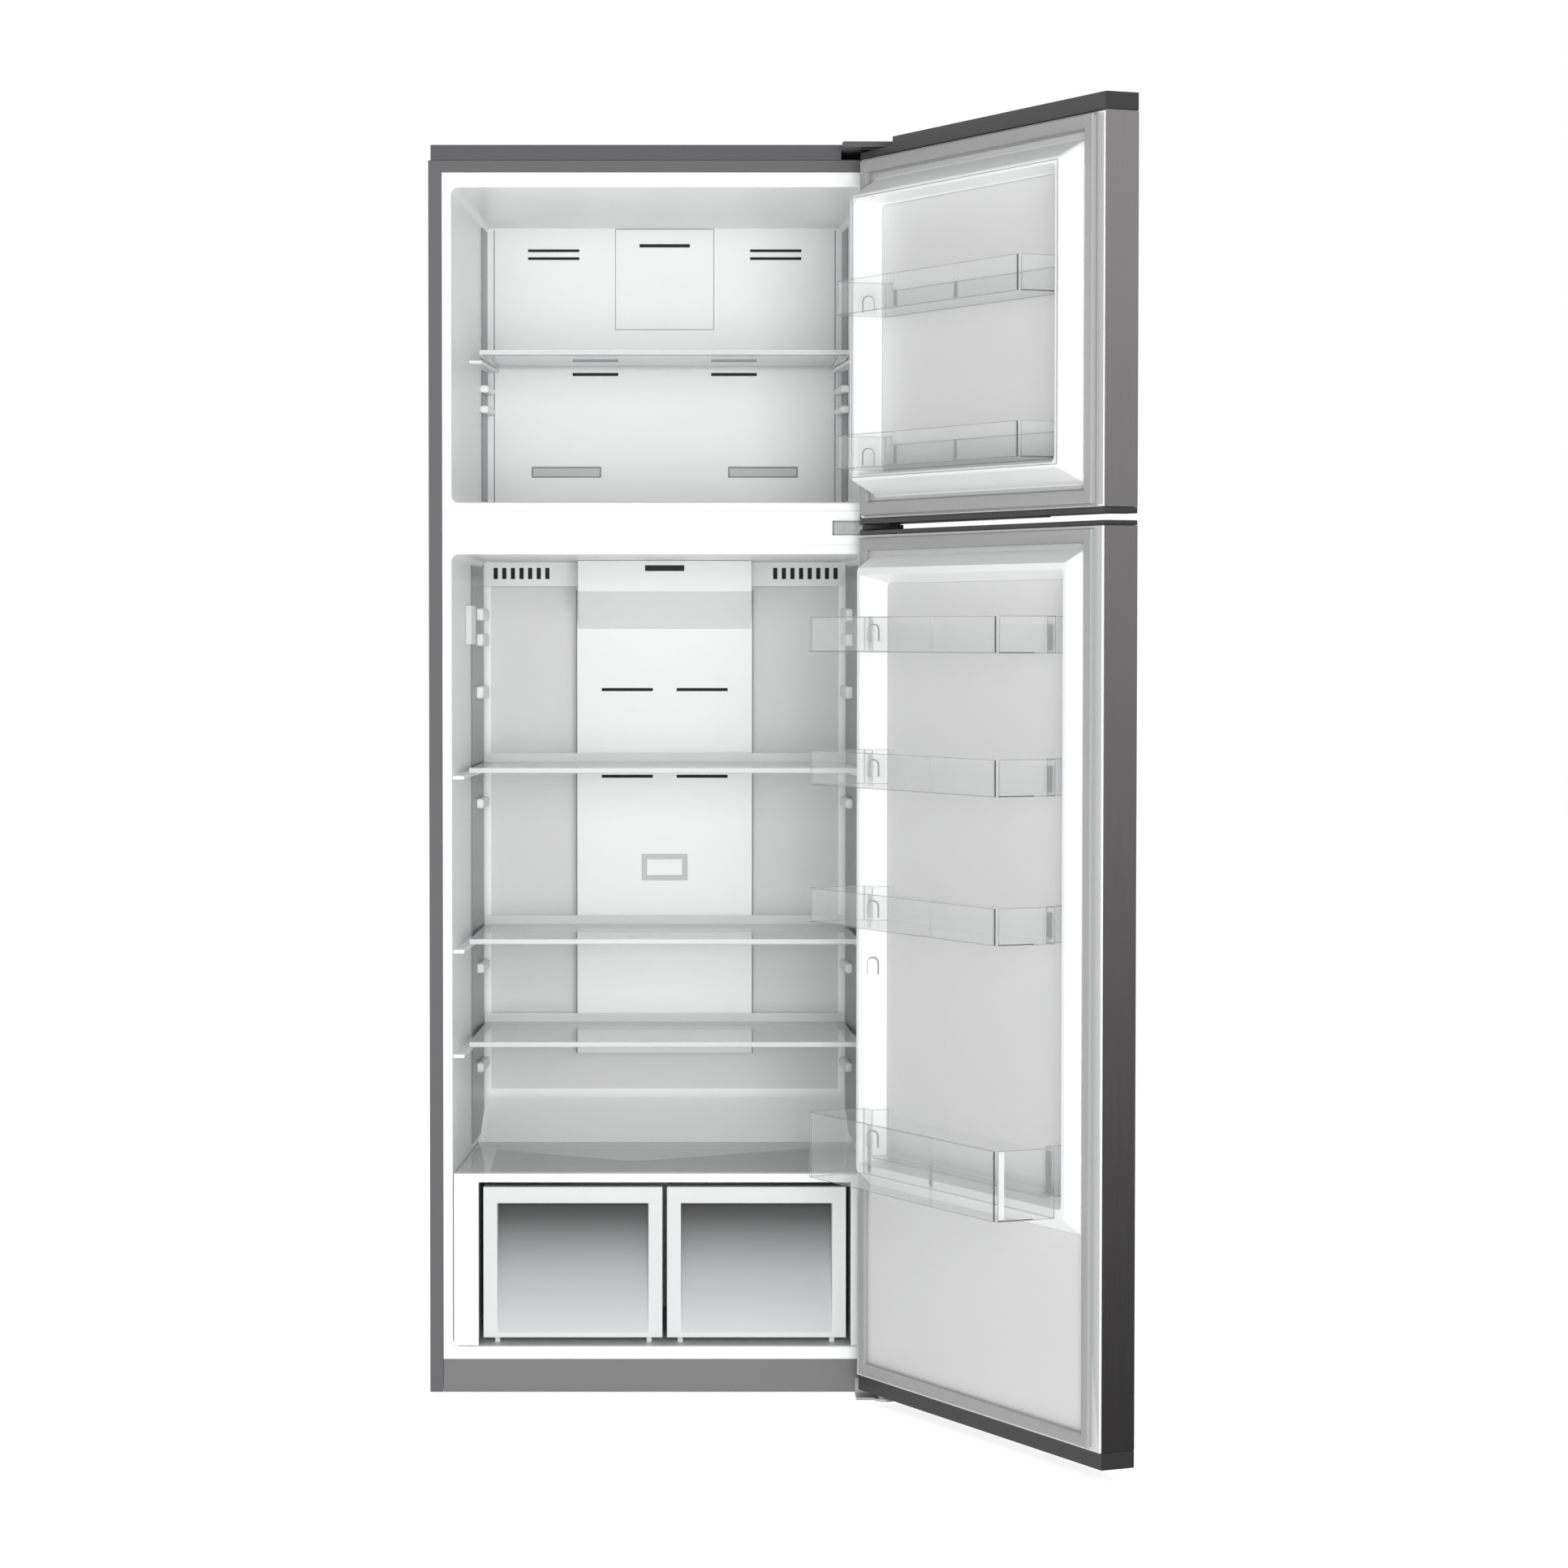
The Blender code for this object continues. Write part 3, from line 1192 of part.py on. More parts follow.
def main():
    clear_scene()
    cabinet_shell()
    back_panel()
    base_plate()
    insulation()
    plinth()
    freezer_liner()
    fridge_liner()
    mullion_cover()
    top_cover()
    top_hinge()
    middle_hinge()
    lower_hinge()
    evaporator_cover()
    evaporator()
    fan_motor()
    evaporator_fan()
    air_duct()
    damper_housing()
    damper_flap()
    interior_lamp()
    shelves()
    crisper_frame()
    crisper_glass()
    for name, (low, high) in zip(("drawer_left", "drawer_right"), drawer_spans()):
        drawer(name, low, high)
    upper_door()
    lower_door()
    for name, (x, y) in zip(("foot_left", "foot_right"), FOOT_PLACES):
        levelling_foot(name, x, y)
    compressor_tray()
    for name, x in zip(("roller_left", "roller_right"), ROLLER_PLACES):
        rear_roller(name, x)
    compressor()
    drip_tray()
    condenser()
    rear_grille()
    power_inlet()


main()
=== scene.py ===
"""Looks of a top freezer refrigerator that stands with both doors open."""

import json
import logging
import math
from dataclasses import dataclass, field, replace
from enum import Enum
from typing import Callable, Iterable, Sequence

import bmesh
import bpy
from bmesh.types import BMEdge, BMesh, BMFace, BMVert
from mathutils import Matrix, Vector


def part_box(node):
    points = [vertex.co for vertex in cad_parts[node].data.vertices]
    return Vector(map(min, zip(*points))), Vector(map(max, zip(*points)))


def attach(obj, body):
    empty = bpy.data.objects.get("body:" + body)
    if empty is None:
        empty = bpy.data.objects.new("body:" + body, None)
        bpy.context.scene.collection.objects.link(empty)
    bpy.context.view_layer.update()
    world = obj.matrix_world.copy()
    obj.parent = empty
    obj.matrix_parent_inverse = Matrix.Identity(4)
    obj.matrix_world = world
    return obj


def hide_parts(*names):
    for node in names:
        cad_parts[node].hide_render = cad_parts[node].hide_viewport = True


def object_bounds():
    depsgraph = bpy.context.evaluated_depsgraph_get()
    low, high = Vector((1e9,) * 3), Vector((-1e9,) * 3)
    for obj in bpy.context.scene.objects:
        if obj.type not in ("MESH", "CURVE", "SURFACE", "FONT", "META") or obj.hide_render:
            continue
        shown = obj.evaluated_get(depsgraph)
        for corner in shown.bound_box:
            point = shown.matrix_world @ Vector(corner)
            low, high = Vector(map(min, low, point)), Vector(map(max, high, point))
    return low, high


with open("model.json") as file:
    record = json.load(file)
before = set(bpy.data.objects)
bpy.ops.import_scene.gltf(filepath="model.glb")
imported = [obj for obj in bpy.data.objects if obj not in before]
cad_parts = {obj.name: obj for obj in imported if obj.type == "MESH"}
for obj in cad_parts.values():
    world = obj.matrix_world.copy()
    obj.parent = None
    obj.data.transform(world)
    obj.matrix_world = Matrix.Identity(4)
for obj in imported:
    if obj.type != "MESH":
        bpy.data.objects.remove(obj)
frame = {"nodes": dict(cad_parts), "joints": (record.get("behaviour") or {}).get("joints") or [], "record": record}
CAD_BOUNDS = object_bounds()

LOG = logging.getLogger("refrigerator")

GAP = 0.0003
SHARP = math.radians(38)
THIN_WALL = 0.008
LINER_SHEET = 0.0015
SCREW_RADIUS = 0.0042
FLUSH = 1e-6


class Side(Enum):
    """The two sides of the cabinet, as the sign of X."""

    LEFT = -1
    RIGHT = 1


class Grain(Enum):
    """How a surface was made, which sets its pattern."""

    PLAIN = "plain"
    ORANGE_PEEL = "orange peel"
    SPARKED = "sparked"
    BRUSHED = "brushed"
    CELLS = "cells"


def linear(hex_colour: str) -> tuple[float, float, float, float]:
    """Turn an sRGB hex colour into linear RGBA.

    Args:
        hex_colour: six hex digits, with or without a hash.

    Returns:
        The linear colour with full alpha.
    """
    digits = hex_colour.lstrip("#")
    values = [int(digits[i : i + 2], 16) / 255 for i in (0, 2, 4)]
    red, green, blue = (v / 12.92 if v <= 0.04045 else ((v + 0.055) / 1.055) ** 2.4 for v in values)
    return red, green, blue, 1.0


def add_node(tree: bpy.types.NodeTree, kind: str, settings: dict | None = None, **links) -> bpy.types.Node:
    """Add one node to a tree.

    Args:
        tree: the node tree.
        kind: the node's class name.
        settings: attributes by name, and input defaults by "in:" and the socket's name or number.
        links: output sockets by the input's name, with underscores for its spaces.

    Returns:
        The new node.
    """
    node = tree.nodes.new(kind)
    for name, value in (settings or {}).items():
        if name.startswith("in:"):
            key = name[3:]
            node.inputs[int(key) if key.isdigit() else key].default_value = value
        else:
            setattr(node, name, value)
    for name, socket in links.items():
        key = name.lstrip("_").replace("_", " ")
        tree.links.new(socket, node.inputs[int(key) if key.isdigit() else key])
    return node


@dataclass(frozen=True)
class Finish:
    """One finish of the object, or a painted shade on it, with the size of its pattern in millimetres."""

    name: str
    tint: str
    slot: str
    roughness: float
    metallic: float = 0.0
    ior: float = 1.5
    grain: Grain = Grain.PLAIN
    grain_mm: float = 1.0
    depth_mm: float = 0.02
    mottle: float = 0.03
    clear: float = 0.0
    veil: float = 1.0
    coat: float = 0.0
    painted_shade_stops: tuple[tuple[float, str], ...] = ()

    def _pattern(self, tree: bpy.types.NodeTree) -> bpy.types.NodeSocket:
        """Build the pattern's height on object coordinates and return its socket."""
        place = add_node(tree, "ShaderNodeTexCoord").outputs["Object"]
        pitch = 1000 / self.grain_mm
        if self.grain is Grain.BRUSHED:
            place = add_node(
                tree, "ShaderNodeMapping", {"in:Scale": (1.0, 1.0, 0.012)}, Vector=place
            ).outputs[0]
        if self.grain is Grain.CELLS:
            cells = add_node(tree, "ShaderNodeTexVoronoi", {"in:Scale": pitch}, Vector=place)
            return cells.outputs["Distance"]
        detail = 2.0 if self.grain is Grain.ORANGE_PEEL else 4.0
        noise = add_node(
            tree, "ShaderNodeTexNoise", {"in:Scale": pitch, "in:Detail": detail}, Vector=place
        )
        return noise.outputs["Fac"]

    def material(self) -> bpy.types.Material:
        """Return the finish's material, made the first time that it is asked for."""
        made = bpy.data.materials.get(self.name)
        if made is not None:
            return made
        made = bpy.data.materials.new(self.name)
        made.use_nodes = True
        tree = made.node_tree
        shader = tree.nodes["Principled BSDF"]
        shader.inputs["Metallic"].default_value = self.metallic
        shader.inputs["Coat Weight"].default_value = self.coat
        shader.inputs["Coat Roughness"].default_value = 0.08
        if self.metallic < 0.5:
            shader.inputs["IOR"].default_value = self.ior
        colour = linear(self.tint)
        shader.inputs["Base Color"].default_value = colour
        shader.inputs["Roughness"].default_value = self.roughness
        if self.grain is not Grain.PLAIN:
            self._grow(tree, shader, colour)
        if self.painted_shade_stops:
            self._shade(tree, shader)
        if self.clear > 0:
            self._thin(tree, shader)
            made.surface_render_method = "BLENDED"
        return made

    def _grow(self, tree: bpy.types.NodeTree, shader: bpy.types.Node, colour: Sequence[float]) -> None:
        """Let the pattern mottle the colour and the roughness, and raise the surface."""
        height = self._pattern(tree)
        low, high = 1 - self.mottle, 1 + self.mottle
        dark = tuple(c * low for c in colour[:3]) + (1.0,)
        light = tuple(min(c * high, 1.0) for c in colour[:3]) + (1.0,)
        mixed = add_node(
            tree, "ShaderNodeMix", {"data_type": "RGBA", "in:6": dark, "in:7": light}, _0=height
        )
        tree.links.new(mixed.outputs[2], shader.inputs["Base Color"])
        gloss = add_node(
            tree,
            "ShaderNodeMapRange",
            {"in:To Min": self.roughness * 0.85, "in:To Max": min(self.roughness * 1.15, 1.0)},
            Value=height,
        )
        tree.links.new(gloss.outputs[0], shader.inputs["Roughness"])
        raised = add_node(
            tree, "ShaderNodeBump", {"in:Strength": 0.5, "in:Distance": self.depth_mm / 1000}, Height=height
        )
        tree.links.new(raised.outputs[0], shader.inputs["Normal"])

    def _shade(self, tree: bpy.types.NodeTree, shader: bpy.types.Node) -> None:
        """Paint shade into the tint, changing it with the height through the painted shade stops (metres, tint).
        """
        place = add_node(tree, "ShaderNodeTexCoord").outputs["Object"]
        height = add_node(tree, "ShaderNodeSeparateXYZ", Vector=place).outputs["Z"]
        foot, top = self.painted_shade_stops[0][0], self.painted_shade_stops[-1][0]
        span = {"in:From Min": foot, "in:From Max": top}
        share = add_node(tree, "ShaderNodeMapRange", span, Value=height)
        ramp = add_node(tree, "ShaderNodeValToRGB", Fac=share.outputs[0])
        for level, tint in self.painted_shade_stops[1:-1]:
            ramp.color_ramp.elements.new((level - foot) / (top - foot)).color = linear(tint)
        ramp.color_ramp.elements[0].color = linear(self.painted_shade_stops[0][1])
        ramp.color_ramp.elements[-1].color = linear(self.painted_shade_stops[-1][1])
        tree.links.new(ramp.outputs[0], shader.inputs["Base Color"])

    def _thin(self, tree: bpy.types.NodeTree, shader: bpy.types.Node) -> None:
        """Make the surface clear when seen square on and closed when seen along it."""
        along = add_node(tree, "ShaderNodeLayerWeight", {"in:Blend": 0.5}).outputs["Facing"]
        steep = add_node(tree, "ShaderNodeMath", {"operation": "POWER", "in:1": 3.0}, _0=along)
        span = {"in:To Min": 1 - self.clear, "in:To Max": self.veil}
        cover = add_node(tree, "ShaderNodeMapRange", span, Value=steep.outputs[0])
        tree.links.new(cover.outputs[0], shader.inputs["Alpha"])


# Coil-coated steel on the cabinet's sides: an even mid grey with a faint orange peel.
SIDE_STEEL = Finish(
    "coil_coated_steel", "606062", "side_steel", 0.42, grain=Grain.ORANGE_PEEL, grain_mm=3.0,
    depth_mm=0.02,
)
# The roof trim is grey ABS from a sparked mould, which gives it a dull fine tooth.
TRIM_ABS = Finish(
    "sparked_grey_abs", "555557", "side_steel", 0.5, grain=Grain.SPARKED, grain_mm=0.9, depth_mm=0.03,
)
# Stainless door skins, brushed upright. The strokes are drawn 1.2 mm apart so that they show.
DOOR_STEEL = Finish(
    "brushed_stainless", "8c898b", "door_steel", 0.24, metallic=1.0, grain=Grain.BRUSHED, grain_mm=1.2,
    depth_mm=0.01, mottle=0.10,
)
# Vacuum-formed high-impact polystyrene: bright white with a soft, slightly wavy gloss.
LINER_WHITE = Finish(
    "formed_white_polystyrene", "f6f7f7", "white_plastic", 0.30, grain=Grain.ORANGE_PEEL, grain_mm=14.0,
    depth_mm=0.03, mottle=0.004,
)
# Painted shade: a greyer copy of the same sheet, for the middle of the doors and across the rear walls.
LINER_PAINTED_SHADE = replace(LINER_WHITE, name="polystyrene_painted_shade", tint="dbdbdb", roughness=0.34)
# Painted shade: a greyer copy of the same sheet for the liner's flat rim beside the seal.
LINER_RIM_PAINTED_SHADE = replace(LINER_WHITE, name="polystyrene_rim_painted_shade", tint="c4c5c5")
# Injection-moulded white ABS of the rear panels and frames: the same white, more even.
PANEL_WHITE = Finish(
    "moulded_white_abs", "f1f2f2", "white_plastic", 0.30, grain=Grain.SPARKED, grain_mm=2.0,
    depth_mm=0.01, mottle=0.006,
)
# Kick strip in mid grey ABS with a fine sparked tooth.
PLINTH_GREY = replace(
    TRIM_ABS, name="sparked_mid_grey_abs", tint="767676", slot="grey_plastic", roughness=0.55
)
# Door end caps, feet, bushes and other dark ABS parts.
CAP_DARK = replace(TRIM_ABS, name="sparked_dark_abs", tint="2b2b2c", slot="dark_plastic", roughness=0.45)
# Extruded soft PVC of the magnetic seals: dull, slightly chalky grey.
SEAL_GREY = Finish(
    "soft_grey_pvc", "a3a3a3", "gasket_rubber", 0.62, grain=Grain.SPARKED, grain_mm=1.5, depth_mm=0.02,
)
# Crystal polystyrene of the door bins: nearly invisible square on, bright along its edges.
BIN_CLEAR = Finish("crystal_polystyrene", "eef1f1", "clear_plastic", 0.06, ior=1.59, clear=0.95, veil=0.28)
# Painted reflection: the bins' free front corners drawn as one strong dark line, for the dark of the room that the
# clear corners bend.
BIN_CORNER_PAINTED_REFLECTION = Finish(
    "crystal_polystyrene_painted_reflection", "3c3e40", "clear_plastic", 0.12, ior=1.59, clear=0.12, veil=1.0,
)
# Painted shade: a grey border round each wall of the bins, standing for the thin grey lines that the cut rims of
# the clear plastic show.
BIN_RIM_PAINTED_SHADE = Finish("crystal_polystyrene_rim_painted_shade", "85898b", "clear_plastic", 0.12, ior=1.59, clear=0.55, veil=0.9)
# Milky polystyrene of the drawers, which lets only soft shapes through.
DRAWER_MILKY = Finish(
    "milky_polystyrene", "dcdede", "clear_plastic", 0.20, ior=1.59, grain=Grain.ORANGE_PEEL,
    grain_mm=20.0, depth_mm=0.04, mottle=0.01, clear=0.06,
)
# Painted shade on the drawers' leaning fronts: darkest at the top, where their rims would shade them, and lighter
# towards the floor.
DRAWER_FRONT_PAINTED_SHADE = Finish(
    "milky_polystyrene_front_painted_shade", "cfd0d1", "clear_plastic", 0.25, ior=1.59,
    painted_shade_stops=((0.0878, "c6c7c8"), (0.180, "a0a1a2"), (0.222, "787a7b"), (0.258, "404142"), (0.2815, "161617")),
)
# Grey shadow lines where two mouldings meet.
SEAM = Finish(
    "seam_shadow_abs", "8e8f90", "grey_plastic", 0.6, grain=Grain.SPARKED, grain_mm=1.0, depth_mm=0.01,
)
# Painted shade: a glossy grey copy of the white liner, laid as bands at the rear of the side walls and as outlines
# round the bosses and the middle hinge's leaf.
PAINTED_SHADE_GREY = replace(
    LINER_WHITE, name="painted_shade_polystyrene", tint="8b8d8e", grain_mm=10.0, mottle=0.02
)
# Shelf trims in translucent white plastic.
TRIM_CLEAR = Finish("translucent_trim", "f2f4f4", "clear_plastic", 0.18, clear=0.35)
# Painted shadow: a dark grey strip under each shelf's front trim.
TRIM_PAINTED_SHADOW = replace(SEAM, name="soft_grey_lip", tint="5c5e5f", slot="clear_plastic", roughness=0.5)
# Toughened float glass of the shelves.
SHELF_GLASS = Finish("toughened_glass", "edf0ef", "shelf_glass", 0.03, ior=1.52, clear=0.90, veil=0.62)
# The glass's ground edge, which shows the iron's green.
GLASS_EDGE = Finish("ground_glass_edge", "cfd9d7", "shelf_glass", 0.25, ior=1.52, clear=0.15)
# Zinc-plated pressed steel of hinges, plates and the back.
ZINC = Finish(
    "zinc_plated_steel", "c9cacc", "zinc_steel", 0.32, metallic=1.0, grain=Grain.ORANGE_PEEL,
    grain_mm=2.5, depth_mm=0.01,
)
# Black passivated steel of the top hinge, under the roof trim.
HINGE_BLACK = replace(ZINC, name="black_passivated_steel", tint="3a3b3d", roughness=0.4)
# Mill-finish aluminium of the coils' fins.
FIN_ALUMINIUM = Finish(
    "mill_aluminium", "d6d8da", "aluminium", 0.35, metallic=1.0, grain=Grain.BRUSHED, grain_mm=1.5,
    depth_mm=0.01,
)
# Black stoved paint of the compressor's shell.
STOVED_BLACK = Finish(
    "stoved_black_paint", "1d1d1f", "black_steel", 0.35, grain=Grain.ORANGE_PEEL, grain_mm=3.0,
    depth_mm=0.03, coat=0.3,
)
# Rigid polyurethane foam between the liners and the steel.
FOAM = Finish(
    "polyurethane_foam", "e2d5a4", "foam", 0.9, grain=Grain.CELLS, grain_mm=1.5, depth_mm=0.2,
    mottle=0.08,
)
# Painted shade: the dark inside of an air slot.
SLOT_DARK = replace(CAP_DARK, name="slot_shadow_abs", roughness=0.7, grain_mm=1.0, depth_mm=0.02)
# Lamp lens in frosted acrylic.
LENS = Finish("frosted_acrylic", "f7f8f8", "clear_plastic", 0.35, ior=1.49, clear=0.25)

BY_SLOT = {
    finish.slot: finish
    for finish in (
        SIDE_STEEL, DOOR_STEEL, PANEL_WHITE, PLINTH_GREY, CAP_DARK, SEAL_GREY, BIN_CLEAR, SHELF_GLASS, ZINC,
        FIN_ALUMINIUM, STOVED_BLACK, FOAM,
    )
}


def settle(
    name: str,
    shape: BMesh,
    finishes: Sequence[Finish],
    body: str,
    replaced: Iterable[str] = (),
    wall: float = 0.0,
) -> bpy.types.Object:
    """Turn a finished bmesh into a piece of the object.

    Args:
        name: the piece's name.
        shape: the mesh, with its place in it. It is freed.
        finishes: one finish for each material index.
        body: the CAD body that the piece moves with.
        replaced: the CAD nodes that the piece stands for.
        wall: thickness behind the mesh's faces, where the mesh is an open sheet.

    Returns:
        The new object.
    """
    mesh = bpy.data.meshes.new(name)
    shape.to_mesh(mesh)
    shape.free()
    mesh.shade_smooth()
    mesh.set_sharp_from_angle(angle=SHARP)
    for finish in finishes:
        mesh.materials.append(finish.material())
    piece = bpy.data.objects.new(name, mesh)
    bpy.context.scene.collection.objects.link(piece)
    if wall:
        solid = piece.modifiers.new("wall", "SOLIDIFY")
        solid.thickness = wall
        solid.offset = -1
    weighted = piece.modifiers.new("even normals", "WEIGHTED_NORMAL")
    weighted.keep_sharp = True
    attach(piece, body)
    if replaced:
        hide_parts(*replaced)
    LOG.info("%s: %d faces on %s", name, len(mesh.polygons), body)
    return piece


def cad_shape(node: str) -> BMesh:
    """Copy a CAD node's mesh with its loose triangles joined into flat faces.

    Args:
        node: the CAD node's name.

    Returns:
        The merged copy.
    """
    shape = bmesh.new()
    shape.from_mesh(frame["nodes"][node].data)
    bmesh.ops.remove_doubles(shape, verts=shape.verts, dist=0.00001)
    bmesh.ops.dissolve_limit(
        shape, angle_limit=math.radians(0.5), verts=shape.verts, edges=shape.edges, delimit={"NORMAL"}
    )
    for face in shape.faces:
        face.material_index = 0
    return shape


def bevel(shape: BMesh, edges: Sequence[BMEdge], width: float, segments: int) -> None:
    """Round some edges, and stop where two roundings would meet."""
    bmesh.ops.bevel(
        shape, geom=edges, offset=width, offset_type="OFFSET", segments=segments, profile=0.5,
        affect="EDGES", clamp_overlap=True, material=-1,
    )


def round_edges(
    shape: BMesh, width: float, segments: int = 2, where: Callable[[BMEdge], bool] | None = None
) -> None:
    """Round the folds of a shape.

    Args:
        shape: the mesh to change.
        width: the rounding's size in metres.
        segments: steps across the rounding.
        where: picks the edges. All folds over 25 degrees are rounded without it.
    """
    fold = math.radians(25)
    edges = [e for e in shape.edges if len(e.link_faces) == 2 and e.calc_face_angle(0) > fold]
    if where is not None:
        edges = [e for e in edges if where(e)]
    if edges:
        bevel(shape, edges, width, segments)


def joint_of(body: str) -> dict:
    """Return the frame's joint that moves a body."""
    return next(joint for joint in frame["joints"] if joint["child"] == body)


def middle(edge: BMEdge) -> Vector:
    """Return an edge's middle."""
    return (edge.verts[0].co + edge.verts[1].co) / 2


def upright(edge: BMEdge) -> bool:
    """Tell whether an edge runs along Z."""
    step = edge.verts[1].co - edge.verts[0].co
    return abs(step.z) > 0.95 * step.length


def block(low: Sequence[float], high: Sequence[float], rounding: float = 0.0, segments: int = 2) -> BMesh:
    """Make a box between two corners.

    Args:
        low: the lowest corner.
        high: the highest corner.
        rounding: size of the rounding on its edges.
        segments: steps across the rounding.

    Returns:
        The new mesh.
    """
    shape = bmesh.new()
    bmesh.ops.create_cube(shape, size=1)
    low, high = Vector(low), Vector(high)
    bmesh.ops.scale(shape, vec=high - low, verts=shape.verts)
    bmesh.ops.translate(shape, vec=(low + high) / 2, verts=shape.verts)
    if rounding:
        round_edges(shape, rounding, segments)
    return shape


def plate(low: Vector, high: Vector, y: float) -> tuple[BMesh, BMFace]:
    """Start a shape from one upright rectangle that faces along Y.

    Args:
        low: the corner that gives the lowest X and Z.
        high: the corner that gives the highest X and Z.
        y: where it stands.

    Returns:
        The mesh and its face.
    """
    shape = bmesh.new()
    corners = ((low.x, low.z), (high.x, low.z), (high.x, high.z), (low.x, high.z))
    return shape, shape.faces.new([shape.verts.new((x, y, z)) for x, z in corners])


def step_in(shape: BMesh, inner: BMFace, half: float, bottom: float, top: float, y: float) -> None:
    """Inset an upright face and move it to a rectangle that is symmetric about X = 0.

    Args:
        shape: the mesh.
        inner: its innermost face.
        half: the rectangle's half width.
        bottom: its lowest Z.
        top: its highest Z.
        y: where it stands.
    """
    bmesh.ops.inset_region(shape, faces=[inner], thickness=0.0001, use_boundary=True, use_even_offset=True)
    centre = inner.calc_center_median().z
    for vert in inner.verts:
        vert.co = (math.copysign(half, vert.co.x), y, bottom if vert.co.z < centre else top)


def outline(shape: BMesh, centre: Vector, width: float, index: int) -> None:
    """Draw a border of another material round each flat outer wall of a thin-walled shape.

    Args:
        shape: the mesh to change.
        centre: the middle of the shape, which its outer walls face away from.
        width: the border's width.
        index: the border's material index.
    """
    walls = [
        f for f in shape.faces
        if 2 * f.calc_area() > THIN_WALL * f.calc_perimeter()
        and (f.calc_center_median() - centre).dot(f.normal) > 0
    ]
    made = bmesh.ops.inset_individual(shape, faces=walls, thickness=width, use_even_offset=True)
    for face in made["faces"]:
        face.material_index = index


def ring(half: float, low: float, high: float, y: float, width: float) -> BMesh:
    """Make a thin upright frame that is symmetric about X = 0.

    Args:
        half: its outer half width.
        low: its lowest Z.
        high: its highest Z.
        y: its front.
        width: the width of its bars.

    Returns:
        The new mesh.
    """
    shape, inner = plate(Vector((-half, y, low)), Vector((half, y, high)), y)
    step_in(shape, inner, half - width, low + width, high - width, y)
    bmesh.ops.delete(shape, geom=[inner], context="FACES_ONLY")
    bmesh.ops.solidify(shape, geom=shape.faces, thickness=0.0003)
    bmesh.ops.recalc_face_normals(shape, faces=shape.faces)
    return shape


def post(
    radius: float, place: Vector, low: float, high: float, sides: int = 32, chamfer: float = 0.0004
) -> BMesh:
    """Make an upright round post with softened rims.

    Args:
        radius: its radius.
        place: a point on its axis.
        low: its lowest Z.
        high: its highest Z.
        sides: facets round it.
        chamfer: size of the rounding on its rims.

    Returns:
        The new mesh.
    """
    shape = bmesh.new()
    bmesh.ops.create_cone(
        shape, cap_ends=True, segments=sides, radius1=radius, radius2=radius, depth=high - low
    )
    bmesh.ops.translate(shape, vec=(place.x, place.y, (low + high) / 2), verts=shape.verts)
    round_edges(shape, chamfer, 2, lambda edge: not upright(edge))
    return shape


def screw_head(place: Vector, turn: float, height: float, sides: int, chamfer: float) -> BMesh:
    """Make a pan head that stands out from a wall.

    Args:
        place: the middle of its foot.
        turn: its turn about X, so that it faces the front or the back.
        height: how far it stands out.
        sides: facets round it.
        chamfer: size of the rounding on its rims.

    Returns:
        The new mesh.
    """
    head = post(SCREW_RADIUS, Vector((0, 0, 0)), 0, height, sides, chamfer)
    bmesh.ops.rotate(head, cent=(0, 0, 0), matrix=Matrix.Rotation(turn, 3, "X"), verts=head.verts)
    bmesh.ops.translate(head, vec=place, verts=head.verts)
    return head


def gather(shapes: Iterable[BMesh]) -> BMesh:
    """Put several shapes into one mesh and free them."""
    whole = bmesh.new()
    for shape in shapes:
        part = bpy.data.meshes.new("part")
        shape.to_mesh(part)
        shape.free()
        whole.from_mesh(part)
        bpy.data.meshes.remove(part)
    return whole


def rounded_node(
    node: str,
    width: float,
    finish: Finish,
    body: str = "cabinet",
    segments: int = 2,
    name: str | None = None,
) -> bpy.types.Object:
    """Replace a CAD node by a copy of it with rounded edges.

    Args:
        node: the CAD node's name.
        width: the rounding's size.
        finish: its finish.
        body: the body that it moves with.
        segments: steps across the rounding.
        name: the piece's name, or the node's name with a suffix.

    Returns:
        The new piece.
    """
    shape = cad_shape(node)
    round_edges(shape, width, segments)
    return settle(name or node + "_rounded", shape, [finish], body, [node])


